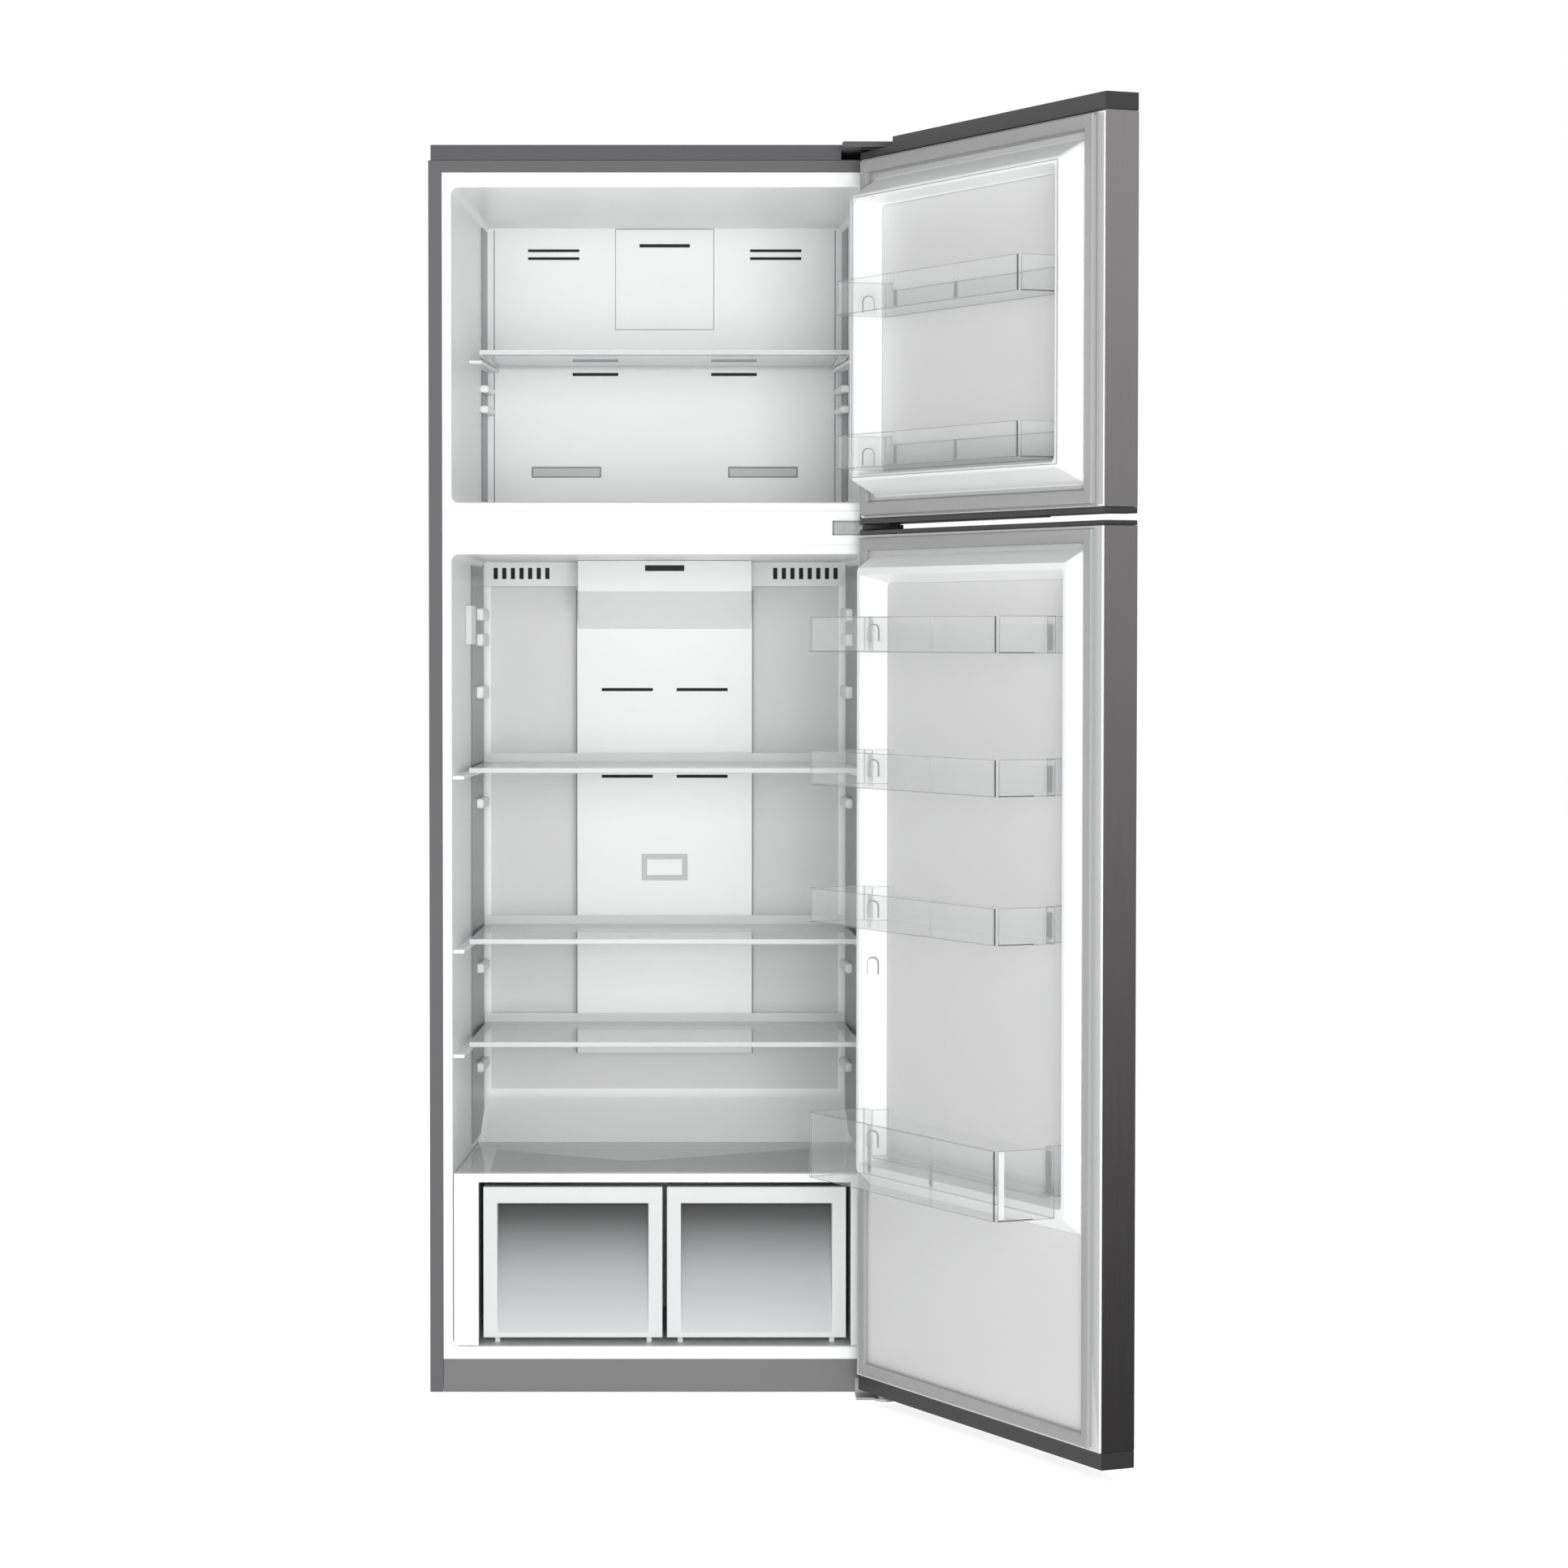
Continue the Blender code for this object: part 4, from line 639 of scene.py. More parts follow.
@dataclass
class Tub:
    """A vacuum-formed compartment: a tapered space with rounded corners and a flange round its mouth."""

    node: str
    mouth_half: float
    rear_half: float
    profile: tuple[tuple[float, float], ...]
    wall: float = LINER_SHEET
    corner: float = 0.010
    lip: float = 0.0035

    def half_at(self, y: float) -> float:
        """Return the space's half width at a depth."""
        front = self.profile[0][0]
        rear = max(point[0] for point in self.profile)
        return self.mouth_half + (self.rear_half - self.mouth_half) * (y - front) / (rear - front)

    def shape(self) -> BMesh:
        """Build the open tub with its flange, facing outwards."""
        shape = bmesh.new()
        face = shape.faces.new([shape.verts.new((-1, y, z)) for y, z in self.profile])
        moved = bmesh.ops.extrude_face_region(shape, geom=[face])["geom"]
        bmesh.ops.translate(shape, vec=(2, 0, 0), verts=[v for v in moved if isinstance(v, BMVert)])
        for vert in shape.verts:
            vert.co.x = math.copysign(self.half_at(vert.co.y), vert.co.x)
        bmesh.ops.recalc_face_normals(shape, faces=shape.faces)
        front = self.profile[0][0]
        mouth = [f for f in shape.faces if all(abs(v.co.y - front) < FLUSH for v in f.verts)]
        bmesh.ops.delete(shape, geom=mouth, context="FACES_ONLY")
        round_edges(shape, self.corner, 5)
        self._add_flange(shape, front)
        return shape

    def _add_flange(self, shape: BMesh, front: float) -> None:
        """Draw the mouth's edge out to the flange's rectangle and round the lip."""
        low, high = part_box(self.node)
        centre = Vector(((low.x + high.x) / 2, front, (low.z + high.z) / 2))
        reach = Vector(((high.x - low.x) / 2, 1, (high.z - low.z) / 2))
        rim = [e for e in shape.edges if e.is_boundary]
        made = bmesh.ops.extrude_edge_only(shape, edges=rim)["geom"]
        outer = [v for v in made if isinstance(v, BMVert)]
        for vert in outer:
            away = vert.co - centre
            vert.co = centre + away / max(abs(away.x) / reach.x, abs(away.z) / reach.z)
            vert.co.y = front
        for x in (low.x, high.x):
            for z in (low.z, high.z):
                corner = Vector((x, front, z))
                min(outer, key=lambda v: (v.co - corner).length).co = corner
        bmesh.ops.recalc_face_normals(shape, faces=shape.faces)
        outside = [f for f in shape.faces if f.calc_center_median().y > front + 0.3]
        if sum(f.normal.y * f.calc_area() for f in outside) < 0:
            bmesh.ops.reverse_faces(shape, faces=shape.faces)
        inner = [e for e in shape.edges if len(e.link_faces) == 2 and e.calc_face_angle(0) > 0.5]
        lip = [e for e in inner if all(abs(v.co.y - front) < FLUSH for v in e.verts)]
        bevel(shape, lip, self.lip, 4)

    def rib(self, side: Side, start: float, end: float, top: float, height: float, reach: float) -> BMesh:
        """Build a rounded rib on a side wall.

        Args:
            side: the wall.
            start: its front Y.
            end: its rear Y.
            top: its top Z.
            height: its height.
            reach: how far it stands out from the wall.

        Returns:
            The rib.
        """
        shape = block((0, start, top - height), (1, end, top))
        for vert in shape.verts:
            inner = vert.co.x < 0.5
            into = -reach if inner else self.wall / 2
            vert.co.x = side.value * (self.half_at(vert.co.y) + into)
        bmesh.ops.recalc_face_normals(shape, faces=shape.faces)
        round_edges(shape, min(height, reach) * 0.35, 3)
        return shape

    def build(self, ribs: Iterable[BMesh]) -> None:
        """Make the tub and its ribs, and dress them."""
        shape = self.shape()
        bmesh.ops.reverse_faces(shape, faces=shape.faces)
        rear = max(point[0] for point in self.profile)
        # The rear wall takes the painted shade copy of the white.
        for face in shape.faces:
            face.material_index = int(all(abs(v.co.y - rear) < 1e-4 for v in face.verts))
        settle(self.node + "_tub", shape, [LINER_WHITE, LINER_PAINTED_SHADE], "cabinet", [self.node], self.wall)
        settle(self.node + "_ribs", gather(ribs), [LINER_WHITE], "cabinet")


@dataclass
class Cabinet:
    """The steel cabinet, its trims, its base and the parts behind it."""

    edge: float = 0.0003
    screw_inset: float = 0.012

    def build(self) -> None:
        """Make every cabinet piece."""
        rounded_node("cabinet_shell", 0.0006, SIDE_STEEL)
        rounded_node("top_cover", 0.0008, TRIM_ABS, segments=3)
        rounded_node("plinth", 0.0008, PLINTH_GREY)
        rounded_node("mullion_cover", 0.0004, LINER_WHITE)
        rounded_node("rear_grille", 0.0003, ZINC)
        self.back()
        self.screws()

    def back(self) -> None:
        """Press two long beads into the back panel, so that it doesn't drum."""
        low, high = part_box("back_panel")
        sheet = block(low, high, self.edge)
        beads = []
        for side in Side:
            x = side.value * (high.x - 0.110)
            foot = (x - 0.009, low.y - GAP, low.z + 0.12)
            top = (x + 0.009, high.y + 0.0022, high.z - 0.12)
            beads.append(block(foot, top, 0.0011, 3))
        settle("back_panel_beaded", gather([sheet, *beads]), [ZINC], "cabinet", ["back_panel"])

    def screws(self) -> None:
        """Put pan-head screws round the back panel and the bay's cover."""
        low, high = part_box("back_panel")
        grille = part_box("rear_grille")
        left, right = low.x + self.screw_inset, high.x - self.screw_inset
        rows = (low.z + 0.03, (low.z + high.z) / 2, high.z - 0.03)
        places = [(x, z) for x in (left, right) for z in rows]
        rows = (grille[0].z + self.screw_inset, grille[1].z - self.screw_inset)
        places += [(x, z) for x in (left, 0.0, right) for z in rows]
        turn = -math.pi / 2
        heads = [screw_head(Vector((x, high.y, z)), turn, 0.0018, 20, 0.0007) for x, z in places]
        settle("back_screws", gather(heads), [ZINC], "cabinet")


@dataclass
class ColdSide:
    """Panels, ducts and covers that the cold air passes through."""

    panel_edge: float = 0.0007

    def build(self) -> None:
        """Make the rear panels, the air box and the painted shade behind their slots."""
        rounded_node("evaporator_cover", self.panel_edge, PANEL_WHITE)
        rounded_node("air_duct", self.panel_edge, PANEL_WHITE)
        rounded_node("damper_housing", self.panel_edge, PANEL_WHITE)
        rounded_node("interior_lamp", 0.0015, LENS, segments=3)
        self.shade("evaporator_cover", 0.0036)
        self.shade("air_duct", 0.006)
        self.seams()

    def seams(self) -> None:
        """Draw the shadow lines round the fan's panel and the duct's window, and down the corners."""
        low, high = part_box("evaporator_cover")
        lines = [ring(0.0790, high.z - 0.162, high.z - 0.001, low.y + 0.0009, 0.0014)]
        duct_low, duct_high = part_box("air_duct")
        centre = (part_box("shelf_1_glass")[0].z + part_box("shelf_2_glass")[0].z) / 2 - 0.0355
        # The window's grey frame is painted shade.
        window = ring(0.0368, centre - 0.0213, centre + 0.0213, duct_low.y - 0.0004, 0.0086)
        settle("duct_window_frame", window, [LINER_RIM_PAINTED_SHADE], "cabinet")
        for x in (-0.141, 0.141):
            top = (x + 0.001, duct_low.y + 0.004, duct_high.z - 0.045)
            lines.append(block((x - 0.001, duct_low.y + 0.001, duct_low.z), top))
        slot_shade_plates = []
        for side in Side:
            x = side.value * (high.x - 0.012)
            foot = (x - 0.0008, low.y + 0.0009, low.z + 0.004)
            lines.append(block(foot, (x + 0.0008, low.y + 0.0013, high.z - 0.004)))
            x = side.value * (high.x - 0.127)
            z = low.z + 0.0536
            slot = ring(0.0555, z - 0.0085, z + 0.0085, low.y + 0.0008, 0.0022)
            bmesh.ops.translate(slot, vec=(x, 0, 0), verts=slot.verts)
            lines.append(slot)
            # A grey plate inside each return slot is painted shade.
            foot = (x - 0.0533, low.y + 0.0009, z - 0.0063)
            slot_shade_plates.append(block(foot, (x + 0.0533, low.y + 0.0012, z + 0.0063)))
        settle("panel_seams", gather(lines), [SEAM], "cabinet")
        settle("return_slot_painted_shade", gather(slot_shade_plates), [LINER_RIM_PAINTED_SHADE], "cabinet")

    def shade(self, node: str, back: float) -> None:
        """Stand a dark sheet of painted shade behind a panel's slots.

        Args:
            node: the slotted panel.
            back: how far behind the panel's face the sheet stands.
        """
        low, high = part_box(node)
        inset, shade_sheet = 0.012, 0.0006
        front = low.y + 0.0015 + back
        bottom = low.z + inset
        shapes = []
        if node == "air_duct":
            bottom = high.z - 0.036
            shapes.append(block((-0.128, front, low.z + inset), (0.128, front + shade_sheet, bottom - 0.004)))
        top = (high.x - inset, front + shade_sheet, high.z - 0.004)
        shapes.insert(0, block((low.x + inset, front, bottom), top))
        settle(node + "_shade", gather(shapes), [SLOT_DARK], "cabinet")


@dataclass
class Shelves:
    """Glass shelves with their trims, the crisper's frame and its drawers."""

    names: tuple[str, ...] = ("freezer_shelf", "shelf_1", "shelf_2", "shelf_3")

    def build(self) -> None:
        """Make the shelves, the crisper and the drawers."""
        for name in self.names:
            self.frame(name + "_frame", name)
            self.glass(name + "_glass", name)
            # A dark strip under each front trim is a painted shadow.
            low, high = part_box(name + "_frame")
            foot = (low.x + 0.003, low.y + 0.0010, low.z - 0.0002)
            lip = block(foot, (high.x - 0.003, low.y + 0.0100, low.z + 0.0014))
            settle(name + "_lip", lip, [TRIM_PAINTED_SHADOW], name)
        rounded_node("crisper_frame", 0.0010, PANEL_WHITE, segments=3)
        self.glass("crisper_glass", "cabinet")
        for name in ("drawer_left", "drawer_right"):
            self.drawer(name)

    def frame(self, node: str, body: str) -> None:
        """Round a shelf's trims. The fridge's three shelves come from one mould, the topmost's."""
        mould = node if body == "freezer_shelf" else "shelf_1_frame"
        shape = cad_shape(mould)
        bmesh.ops.translate(shape, vec=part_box(node)[0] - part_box(mould)[0], verts=shape.verts)
        round_edges(shape, 0.0009, 3)
        settle(node + "_rounded", shape, [TRIM_CLEAR], body, [node])

    def drawer(self, name: str) -> None:
        """Round a drawer and paint shade on its leaning front."""
        shape = cad_shape(name)
        # The leaning front's faces take the painted shade.
        painted_shade_faces = [f for f in shape.faces if f.normal.y < -0.8 and f.normal.z > 0.05]
        for face in painted_shade_faces:
            face.material_index = 1
        round_edges(shape, 0.0009, 3)
        settle(name + "_moulded", shape, [DRAWER_MILKY, DRAWER_FRONT_PAINTED_SHADE], name, [name])

    def glass(self, node: str, body: str) -> None:
        """Round a glass plate and give its ground edges their own finish."""
        shape = cad_shape(node)
        round_edges(shape, 0.0008, 2)
        for face in shape.faces:
            face.material_index = 0 if abs(face.normal.z) > 0.9 else 1
        settle(node + "_plate", shape, [SHELF_GLASS, GLASS_EDGE], body, [node])


@dataclass
class Door:
    """One door: its skin, caps, seal, moulded liner and bins, made shut and then swung open."""

    name: str
    bins: tuple[str, ...]
    side_rows: tuple[float, float, float, float]
    low_rows: tuple[float, float, float, float]
    high_rows: tuple[float, float, float, float]
    rise: float
    boss_tops: tuple[float, ...]
    ridge_round: float = 0.0035

    def __post_init__(self) -> None:
        """Read the door's hinge from the frame."""
        joint = joint_of(self.body)
        pivot = Matrix.Translation(Vector(joint["pos_m"]))
        angle = -math.radians(joint["range_deg"][0])
        self.opened = pivot @ Matrix.Rotation(angle, 4, "Z") @ pivot.inverted()
        self.shut = self.opened.inverted()

    @property
    def body(self) -> str:
        """Return the door's CAD body."""
        return self.name + "_door"

    def part(self, piece: str) -> str:
        """Return the CAD node of one of the door's pieces."""
        return f"{self.body}_{piece}"

    def shut_shape(self, node: str) -> BMesh:
        """Copy a CAD node as it stands on the shut door."""
        shape = cad_shape(node)
        bmesh.ops.transform(shape, matrix=self.shut, verts=shape.verts)
        return shape

    def shut_box(self, node: str) -> tuple[Vector, Vector]:
        """Return a CAD node's corners on the shut door."""
        points = [self.shut @ v.co for v in frame["nodes"][node].data.vertices]
        return (
            Vector([min(p[i] for p in points) for i in range(3)]),
            Vector([max(p[i] for p in points) for i in range(3)]),
        )

    def swing(
        self,
        name: str,
        shape: BMesh,
        finishes: Sequence[Finish],
        body: str,
        replaced: Iterable[str] = (),
        wall: float = 0.0,
    ) -> bpy.types.Object:
        """Swing a shape open with the door and settle it."""
        bmesh.ops.transform(shape, matrix=self.opened, verts=shape.verts)
        return settle(name, shape, finishes, body, replaced, wall)

    def build(self) -> None:
        """Make every piece of the door."""
        rounded_node(self.part("skin"), 0.0003, DOOR_STEEL, self.body)
        for cap in ("foot_cap", "head_cap"):
            rounded_node(self.part(cap), 0.0012, CAP_DARK, self.body, 3)
        self.liner()
        self.seal()
        for name in self.bins:
            self.bin(name)

    def liner(self) -> None:
        """Form the inner panel: a flat rim, a rounded ridge round the edge and a recessed middle."""
        node = self.part("liner")
        low, high = self.shut_box(node)
        face_y = high.y - self.rise
        shape, inner = plate(low, high, face_y)
        turned = bmesh.ops.extrude_edge_only(shape, edges=[e for e in shape.edges if e.is_boundary])["geom"]
        bmesh.ops.translate(shape, vec=(0, -0.005, 0), verts=[v for v in turned if isinstance(v, BMVert)])
        levels = (face_y, high.y, high.y, face_y)
        for side, bottom, top, y in zip(self.side_rows, self.low_rows, self.high_rows, levels):
            step_in(shape, inner, high.x - side, low.z + bottom, high.z - top, y)
        slopes = [
            e for e in shape.edges
            if len(e.link_faces) == 2 and abs(e.verts[0].co.y - e.verts[1].co.y) > self.rise / 2
        ]
        bevel(shape, slopes, self.ridge_round * 3, 4)
        round_edges(shape, self.ridge_round, 3)
        bmesh.ops.recalc_face_normals(shape, faces=shape.faces)
        if sum(f.normal.y * f.calc_area() for f in shape.faces) < 0:
            bmesh.ops.reverse_faces(shape, faces=shape.faces)
        # The flat rim and the recessed middle take greyer copies of the white: painted shade.
        for face in shape.faces:
            if all(abs(v.co.y - face_y) < 0.0005 for v in face.verts):
                face.material_index = 1 if face.calc_area() < 0.1 else 2
        finishes = [LINER_WHITE, LINER_RIM_PAINTED_SHADE, LINER_PAINTED_SHADE]
        self.swing(node + "_formed", shape, finishes, self.body, [node], LINER_SHEET)
        self.foam(face_y)
        self.bosses(high, face_y)

    def foam(self, face_y: float) -> None:
        """Fill the door with a foam slab that stays clear of the rounded edges."""
        node = self.part("foam")
        low, high = self.shut_box(node)
        inset = Vector((0.014, 0.0, 0.014))
        top = Vector((high.x, face_y - 0.0025, high.z)) - inset
        self.swing(node + "_slab", block(low + inset, top, 0.003), [FOAM], self.body, [node])

    def bosses(self, high: Vector, face_y: float) -> None:
        """Add the round-headed bosses that the bins hang on, on both inner slopes of the ridge."""
        crest, base = self.side_rows[2:]
        tilt = math.atan2(self.rise, base - crest)
        shapes = []
        for top in self.boss_tops:
            for side in Side:
                turn = Matrix.Rotation(side.value * tilt, 4, "Z")
                x = side.value * (high.x - (crest + base) / 2)
                place = Matrix.Translation((x, face_y + self.rise / 2, top))
                sunk = 1.0 if side.value > 0 else 0.3
                # Each boss stands on a slightly larger grey copy that shows round it as a painted shade outline.
                for rim, tall, index in ((0.0, 0.0034 * sunk, 0), (0.0016, 0.0018 * sunk, 1)):
                    shape = block((-0.008 - rim, -tall, -0.024), (0.008 + rim, tall, rim))
                    round_edges(shape, 0.0075 + rim, 6, self.at_head)
                    round_edges(shape, 0.0006, 1)
                    for face in shape.faces:
                        face.material_index = index
                    bmesh.ops.transform(shape, matrix=place @ turn, verts=shape.verts)
                    shapes.append(shape)
        self.swing(self.body + "_bosses", gather(shapes), [LINER_WHITE, PAINTED_SHADE_GREY], self.body)

    @staticmethod
    def at_head(edge: BMEdge) -> bool:
        """Pick the two edges of a boss that its round head is cut on."""
        return abs(edge.verts[0].co.y - edge.verts[1].co.y) > 0.0009 and middle(edge).z > -0.01

    def seal(self) -> None:
        """Extrude the magnetic seal: a foot, a thin bellows and a soft bulb that meets the cabinet."""
        node = self.part("gasket")
        low, high = self.shut_box(node)
        width, height = 0.0236, high.y - low.y
        shape, inner = plate(low, high, low.y)
        rows = (
            (0.0006, 0.16), (0.0040, 0.22), (0.0046, 0.50), (0.0024, 0.62), (0.0034, 0.90), (0.0062, 1.0),
            (0.0172, 1.0), (0.0204, 0.90), (0.0212, 0.62), (0.0188, 0.50), (0.0194, 0.22), (0.0230, 0.16),
            (width, 0.0),
        )
        for inset, level in rows:
            step_in(shape, inner, high.x - inset, low.z + inset, high.z - inset, low.y + level * height)
        bmesh.ops.delete(shape, geom=[inner], context="FACES_ONLY")
        ends = [e for e in shape.edges if e.is_boundary]
        bmesh.ops.bridge_loops(shape, edges=ends)
        bmesh.ops.recalc_face_normals(shape, faces=shape.faces)
        self.swing(node + "_moulded", shape, [SEAL_GREY], self.body, [node])

    def bin(self, node: str) -> None:
        """Mould a clear bin with painted shade lines along its edges, and upright ribs inside its front."""
        low, high = self.shut_box(node)
        shape = self.shut_shape(node)
        front = high.y - 0.0045

        def at_front(edge: BMEdge) -> bool:
            """Pick the upright edges of the bin's two front corners."""
            point = middle(edge)
            return upright(edge) and point.y > front and abs(point.x) > high.x - 0.0045

        round_edges(shape, 0.0045, 4, at_front)
        # The grey border round each wall is painted shade.
        outline(shape, (low + high) / 2, 0.0016, 1)
        round_edges(shape, 0.0005, 1)
        shapes = [shape]
        for share in (-0.33, 0.33):
            x = share * high.x
            foot = (x - 0.004, high.y - 0.0040, low.z + 0.003)
            shapes.append(block(foot, (x + 0.004, high.y - 0.0023, high.z - 0.002), 0.0005))
        self.swing(node + "_moulded", gather(shapes), [BIN_CLEAR, BIN_RIM_PAINTED_SHADE], node, [node])
        self.corner(node, low, high)

    def corner(self, node: str, low: Vector, high: Vector) -> None:
        """Paint a dark reflection line on the bin's free front corner and along the foot of its end wall, and
        thicken the corner.
        """
        x, y, foot, top = low.x, high.y, low.z, high.z
        bars = [
            block((x + 0.0030, y - 0.0021, foot + 0.0008), (x + 0.0048, y - 0.0004, top - 0.0008), 0.0004),
            block((x + 0.0004, y - 0.0600, foot + 0.0003), (x + 0.0020, y - 0.0050, foot + 0.0019), 0.0004),
        ]
        self.swing(node + "_corner", gather(bars), [BIN_CORNER_PAINTED_REFLECTION], node)
        if node == "bottle_bin":
            start = (x + 0.0003, y - 0.0150, foot + 0.003)
            strip = block(start, (x + 0.0022, y - 0.0055, top - 0.001), 0.0004)
            self.swing(node + "_corner_web", strip, [TRIM_CLEAR], node)


@dataclass
class Hinges:
    """The three hinges with their bushes and screws."""

    bearing: float = 0.0070

    def build(self) -> None:
        """Make the plates, the shim between the doors and the screws."""
        rounded_node("top_hinge", 0.0005, HINGE_BLACK)
        rounded_node("middle_hinge", 0.0005, ZINC)
        rounded_node("lower_hinge", 0.0005, ZINC)
        axis = Vector(joint_of("upper_door")["pos_m"])
        middle_low, middle_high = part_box("middle_hinge")
        centre = (middle_low.z + middle_high.z) / 2
        reach = Vector((0.0300, 0.0165, self.bearing / 2))
        shim = block(axis - reach, axis + reach, 0.0012, 2)
        bmesh.ops.translate(shim, vec=(-0.006, 0, centre - axis.z), verts=shim.verts)
        settle("hinge_shim", shim, [CAP_DARK], "cabinet")
        leaf_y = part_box("cabinet_shell")[0].y - 0.0033
        places = [Vector((middle_low.x + along, leaf_y, centre)) for along in (0.012, 0.030)]
        heads = [screw_head(place, math.pi / 2, 0.0016, 24, 0.0006) for place in places]
        settle("hinge_screws", gather(heads), [ZINC], "cabinet")
        self.rim(middle_low, middle_high, leaf_y)

    def rim(self, low: Vector, high: Vector, y: float) -> None:
        """Lay dark grey bars round the free end of the middle hinge's leaf, as a painted shade outline.

        Args:
            low: the hinge's lowest corner.
            high: its highest corner.
            y: the front of the leaf.
        """
        left, right = low.x - 0.0016, low.x + 0.046
        bars = (
            block((left, y - 0.0009, low.z - 0.0012), (left + 0.0026, y, high.z + 0.0012), 0.0004),
            block((left, y - 0.0009, low.z - 0.0012), (right, y, low.z + 0.0012), 0.0004),
            block((left, y - 0.0009, high.z - 0.0012), (right, y, high.z + 0.0012), 0.0004),
        )
        settle("hinge_leaf_rim", gather(bars), [PAINTED_SHADE_GREY], "cabinet")


@dataclass
class Studio:
    """A pale floor, soft light and the camera.

    The fill and the mirrored sky are each given as the lowest and highest Z of a direction that the
    level changes between, the level below and above them, and the level of the wall on the left.
    """

    fill: tuple[float, ...] = (-0.30, 0.30, 0.42, 0.38, 0.0)
    mirrored: tuple[float, ...] = (-0.15, 0.125, 0.03, 1.2, 0.85)
    distance: float = 6.562
    height: float = 1.1396
    pitch: float = 88.006
    lens: float = 101.125
    shift: float = 0.0761

    def build(self) -> None:
        """Set the floor, the light and the camera."""
        self.floor()
        self.world()
        self.lamps()
        self.camera()

    def floor(self) -> None:
        """Lay a plain pale floor under the feet. It shows no mirror image of itself in the steel."""
        shape = bmesh.new()
        bmesh.ops.create_grid(shape, x_segments=1, y_segments=1, size=20)
        bmesh.ops.translate(shape, vec=(0, 0, CAD_BOUNDS[0][2]), verts=shape.verts)
        mesh = bpy.data.meshes.new("floor")
        shape.to_mesh(mesh)
        shape.free()
        paper = Finish("pale_floor", "f7f7f7", "white_plastic", 0.8).material()
        shader = paper.node_tree.nodes["Principled BSDF"]
        shader.inputs["Emission Color"].default_value = (1, 1, 1, 1)
        seen = add_node(paper.node_tree, "ShaderNodeLightPath").outputs["Is Camera Ray"]
        glow = add_node(
            paper.node_tree, "ShaderNodeMapRange", {"in:To Min": 0.50, "in:To Max": 0.72}, Value=seen
        )
        paper.node_tree.links.new(glow.outputs[0], shader.inputs["Emission Strength"])
        mesh.materials.append(paper)
        floor = bpy.data.objects.new("floor", mesh)
        bpy.context.scene.collection.objects.link(floor)
        floor.visible_glossy = False

    def world(self) -> None:
        """Light the studio evenly from above and dimly from below, on a white ground."""
        world = bpy.data.worlds.new("studio")
        world.use_nodes = True
        bpy.context.scene.world = world
        tree = world.node_tree
        tree.nodes.clear()
        place = add_node(tree, "ShaderNodeTexCoord").outputs["Generated"]
        split = add_node(tree, "ShaderNodeSeparateXYZ", Vector=place)
        sky = []
        for low, high, dim, bright, left in (self.fill, self.mirrored):
            span = {"in:From Min": low, "in:From Max": high, "in:To Min": dim, "in:To Max": bright}
            climb = add_node(tree, "ShaderNodeMapRange", span, Value=split.outputs["Z"])
            span = {"in:From Min": -0.1, "in:From Max": 0.75, "in:To Min": left, "in:To Max": 0.0}
            wall = add_node(tree, "ShaderNodeMapRange", span, Value=split.outputs["X"])
            larger = {"operation": "MAXIMUM"}
            level = add_node(tree, "ShaderNodeMath", larger, _0=climb.outputs[0], _1=wall.outputs[0])
            sky.append(add_node(tree, "ShaderNodeBackground", Strength=level.outputs[0]).outputs[0])
        ray = add_node(tree, "ShaderNodeLightPath")
        soft = add_node(tree, "ShaderNodeMixShader", _0=ray.outputs["Is Glossy Ray"], _1=sky[0], _2=sky[1])
        ground = add_node(tree, "ShaderNodeBackground", {"in:Strength": 1.0})
        for node in tree.nodes:
            if node.bl_idname == "ShaderNodeBackground":
                node.inputs["Color"].default_value = (1, 1, 1, 1)
        seen = ray.outputs["Is Camera Ray"]
        mixed = add_node(tree, "ShaderNodeMixShader", _0=seen, _1=soft.outputs[0], _2=ground.outputs[0])
        add_node(tree, "ShaderNodeOutputWorld", Surface=mixed.outputs[0])

    @staticmethod
    def hang(light: bpy.types.Light, place: Sequence[float], way: Sequence[float]) -> None:
        """Hang a light so that it shines a given way, and leave it out of mirror images."""
        lamp = bpy.data.objects.new(light.name, light)
        lamp.location = place
        lamp.rotation_euler = Vector(way).to_track_quat("-Z", "Y").to_euler()
        lamp.visible_glossy = False
        bpy.context.scene.collection.objects.link(lamp)

    def lamps(self) -> None:
        """Hang a wide key in front, and a soft spot on the middle of the rear panels."""
        key = bpy.data.lights.new("key", "AREA")
        key.size = 2.5
        key.energy = 250
        self.hang(key, (0.5, -6.9, 1.25), (-0.4, 6.7, -0.2))
        accent = bpy.data.lights.new("accent", "SPOT")
        accent.energy = 130
        accent.spot_size = math.radians(9)
        accent.spot_blend = 1.0
        accent.shadow_soft_size = 0.25
        self.hang(accent, (-0.1, -6.5, 1.3), (0.1, 6.7, -0.66))

    def camera(self) -> None:
        """Set the camera level with the mullion, square to the cabinet's front."""
        data = bpy.data.cameras.new("camera")
        data.lens = self.lens
        data.sensor_width = 36
        data.shift_x = self.shift
        camera = bpy.data.objects.new("camera", data)
        camera.location = (0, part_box("cabinet_shell")[0].y - self.distance, self.height)
        camera.rotation_euler = (math.radians(self.pitch), 0, 0)
        bpy.context.scene.collection.objects.link(camera)
        bpy.context.scene.camera = camera
        bpy.context.scene.view_settings.view_transform = "Standard"


def dress_nodes() -> None:
    """Give every CAD node the finish of its slot. Those that show are then replaced or kept."""
    for part in frame["record"]["subparts"]:
        mesh = frame["nodes"][part["node"]].data
        finish = BY_SLOT[part["material_slot"]]
        mesh.materials.clear()
        mesh.materials.append(finish.material())


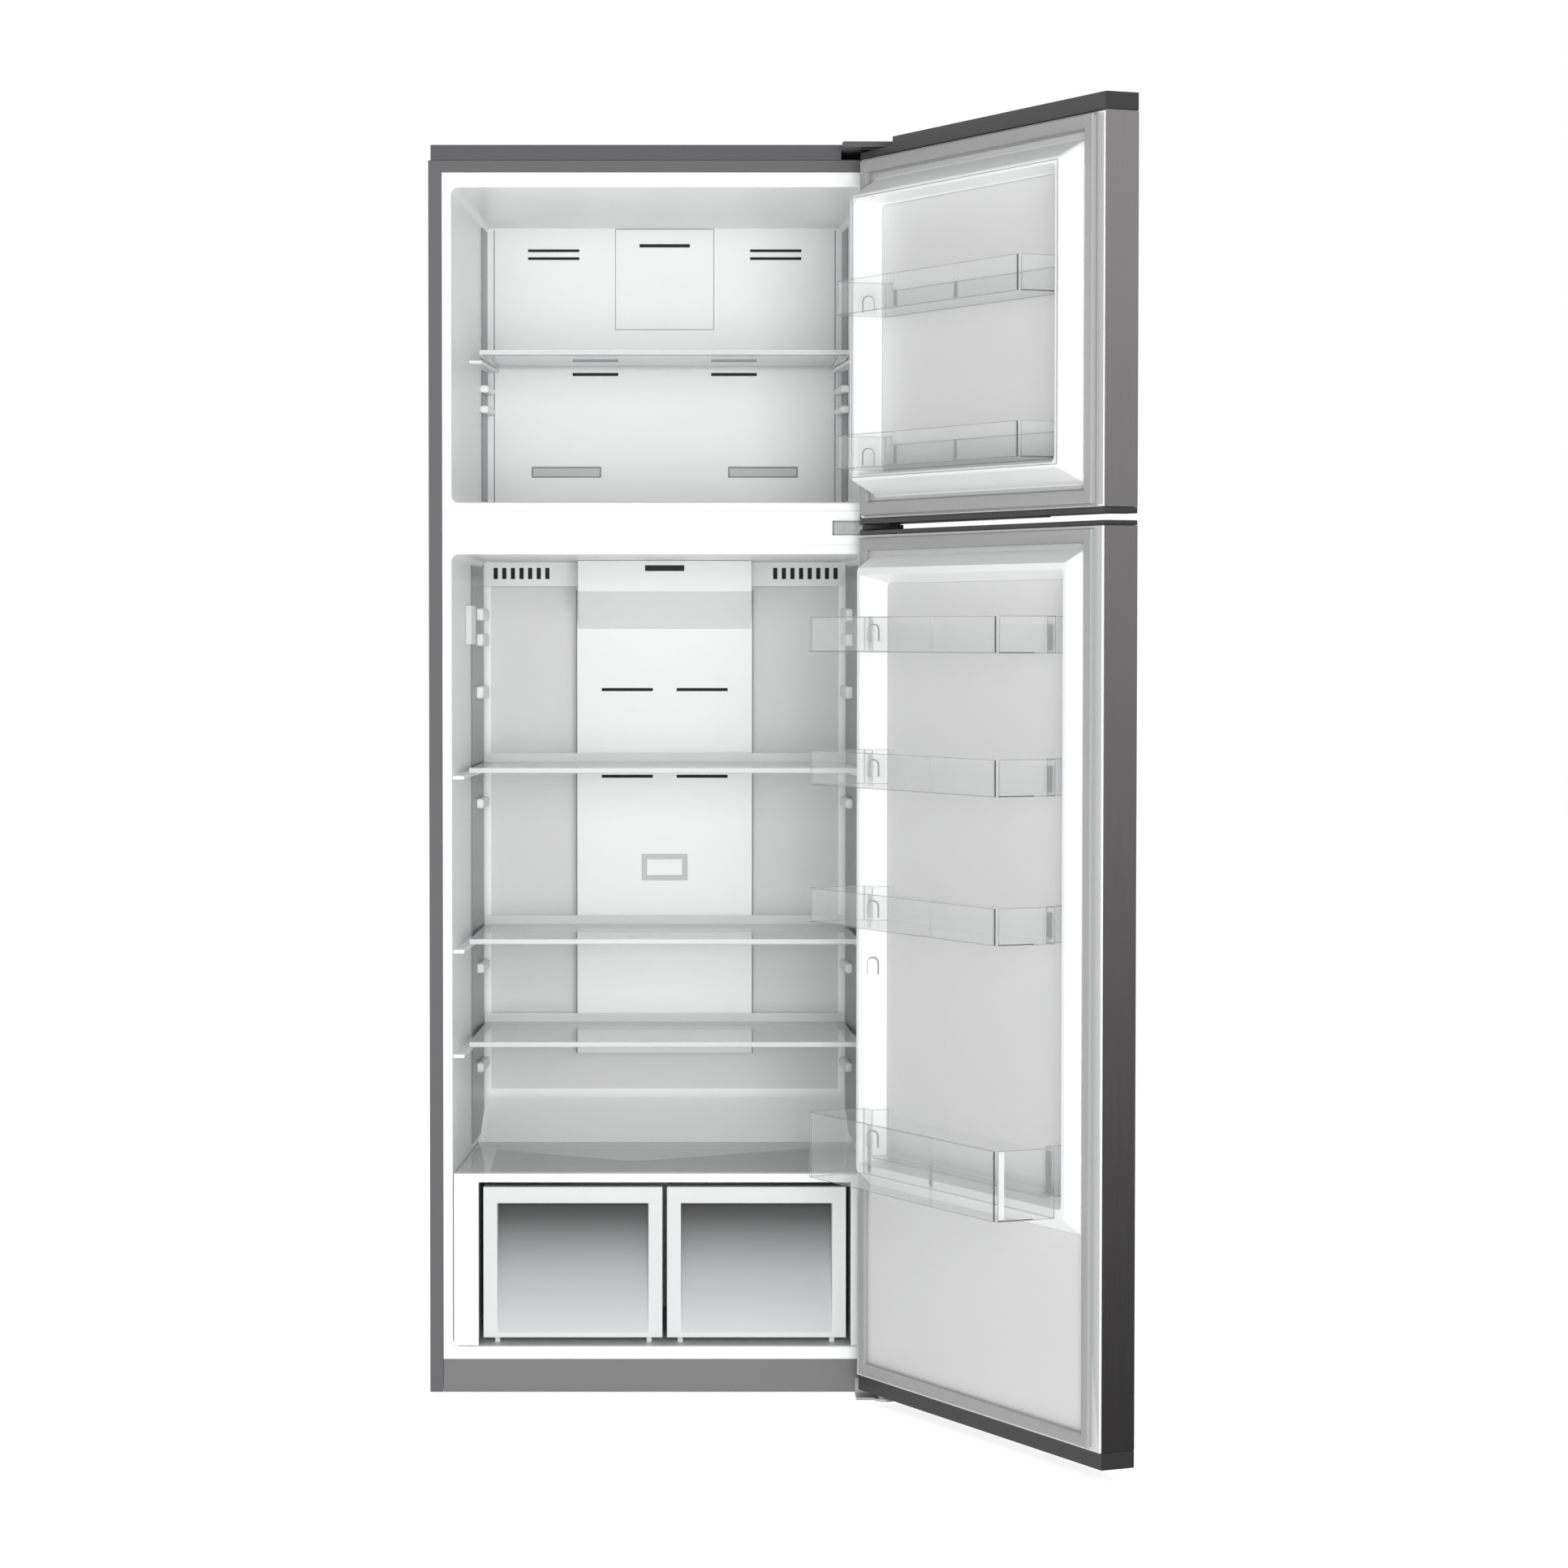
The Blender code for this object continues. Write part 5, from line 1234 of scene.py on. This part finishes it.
@dataclass
class Compartments:
    """The freezer's and the fridge's tubs with their ribs, and the runners under the drawers."""

    mouth_half: float = 0.317
    rib_end: float = 0.498
    rear_shade_bands: list[BMesh] = field(default_factory=list)

    def build(self) -> None:
        """Make both tubs, the painted shade bands at the rear of their side walls and the runners."""
        self.freezer()
        self.fridge()
        settle("rear_wall_painted_shade", gather(self.rear_shade_bands), [PAINTED_SHADE_GREY], "cabinet")
        self.runners()

    def freezer(self) -> None:
        """Form the freezer: its floor climbs and its ceiling drops a little towards the rear."""
        low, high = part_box("freezer_liner")
        front, rear = low.y, low.y + 0.575
        floor, roof = low.z + 0.0126, high.z - 0.0215
        profile = ((front, floor), (rear, floor + 0.0095), (rear, roof - 0.018), (front, roof))
        tub = Tub("freezer_liner", self.mouth_half, 0.280, profile)
        end = front + self.rib_end
        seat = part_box("freezer_shelf_frame")[0].z - GAP
        ribs = [tub.rib(side, front + 0.25, end, seat, 0.006, 0.020) for side in Side]
        for drop in (0.030, 0.062):
            ribs += [tub.rib(side, front + 0.40, front + 0.495, seat - drop, 0.012, 0.014) for side in Side]
        tub.build(ribs)
        # Thin grey bands on the rear of the side walls are painted shade.
        height = roof - floor - 0.036
        self.rear_shade_bands += [tub.rib(side, front + 0.42, end, roof - 0.022, height, 0.002) for side in Side]

    def fridge(self) -> None:
        """Form the fridge, with the step over the compressor, the shelf ledges and spare hooks."""
        low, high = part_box("fridge_liner")
        front, step, rear = low.y, low.y + 0.36, low.y + 0.535
        floor, roof = low.z + 0.0190, high.z - 0.0145
        profile = (
            (front, floor), (step, floor + 0.006), (step, 0.290), (rear, 0.390), (rear, roof - 0.0031),
            (front, roof),
        )
        tub = Tub("fridge_liner", self.mouth_half, 0.290, profile)
        end, start, stop = front + self.rib_end, front + 0.380, front + 0.490
        ribs = []
        for name in ("shelf_1", "shelf_2", "shelf_3"):
            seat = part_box(name + "_frame")[0].z - GAP
            ribs += [tub.rib(side, front + 0.020, end, seat, 0.006, 0.016) for side in Side]
            ribs += [tub.rib(side, start, stop, seat - 0.048, 0.016, 0.012) for side in Side]
        for height in (1.175, 1.135, 1.052):
            ribs += [tub.rib(side, start, stop, height, 0.020, 0.012) for side in Side]
        tub.build(ribs)
        # Thin grey bands on the rear of the side walls are painted shade.
        height = roof - 0.350
        self.rear_shade_bands += [tub.rib(side, front + 0.300, end, roof - 0.012, height, 0.002) for side in Side]

    def runners(self) -> None:
        """Lay two runners under each drawer."""
        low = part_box("fridge_liner")[0]
        front, floor = low.y, low.z + 0.0190
        bars = []
        for name in ("drawer_left", "drawer_right"):
            left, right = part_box(name)
            for x in (left.x + 0.020, right.x - 0.020):
                end = (x + 0.004, front + 0.340, left.z - GAP)
                bars.append(block((x - 0.004, front + 0.040, floor), end, 0.0012, 2))
        settle("drawer_runners", gather(bars), [LINER_WHITE], "cabinet")


def main() -> None:
    """Build the studio and every part of the refrigerator, in order."""
    logging.basicConfig(level=logging.INFO, format="%(message)s")
    Studio().build()
    dress_nodes()
    Cabinet().build()
    Compartments().build()
    ColdSide().build()
    Shelves().build()
    Door(
        name="upper", bins=("freezer_bin_1", "freezer_bin_2"),
        side_rows=(0.0409, 0.0453, 0.0629, 0.0669), low_rows=(0.0316, 0.0543, 0.0616, 0.0661),
        high_rows=(0.0339, 0.0596, 0.0669, 0.0714), rise=0.042, boss_tops=(1.627, 1.405),
    ).build()
    Door(
        name="lower", bins=("door_bin_1", "door_bin_2", "door_bin_3", "bottle_bin"),
        side_rows=(0.0409, 0.0479, 0.0569, 0.0939), low_rows=(0.2889, 0.3112, 0.3229, 0.3349),
        high_rows=(0.0310, 0.0490, 0.0586, 0.0710), rise=0.027, ridge_round=0.0018,
        boss_tops=(1.148, 0.950, 0.743, 0.660, 0.405),
    ).build()
    Hinges().build()


if __name__ == "__main__":
    main()
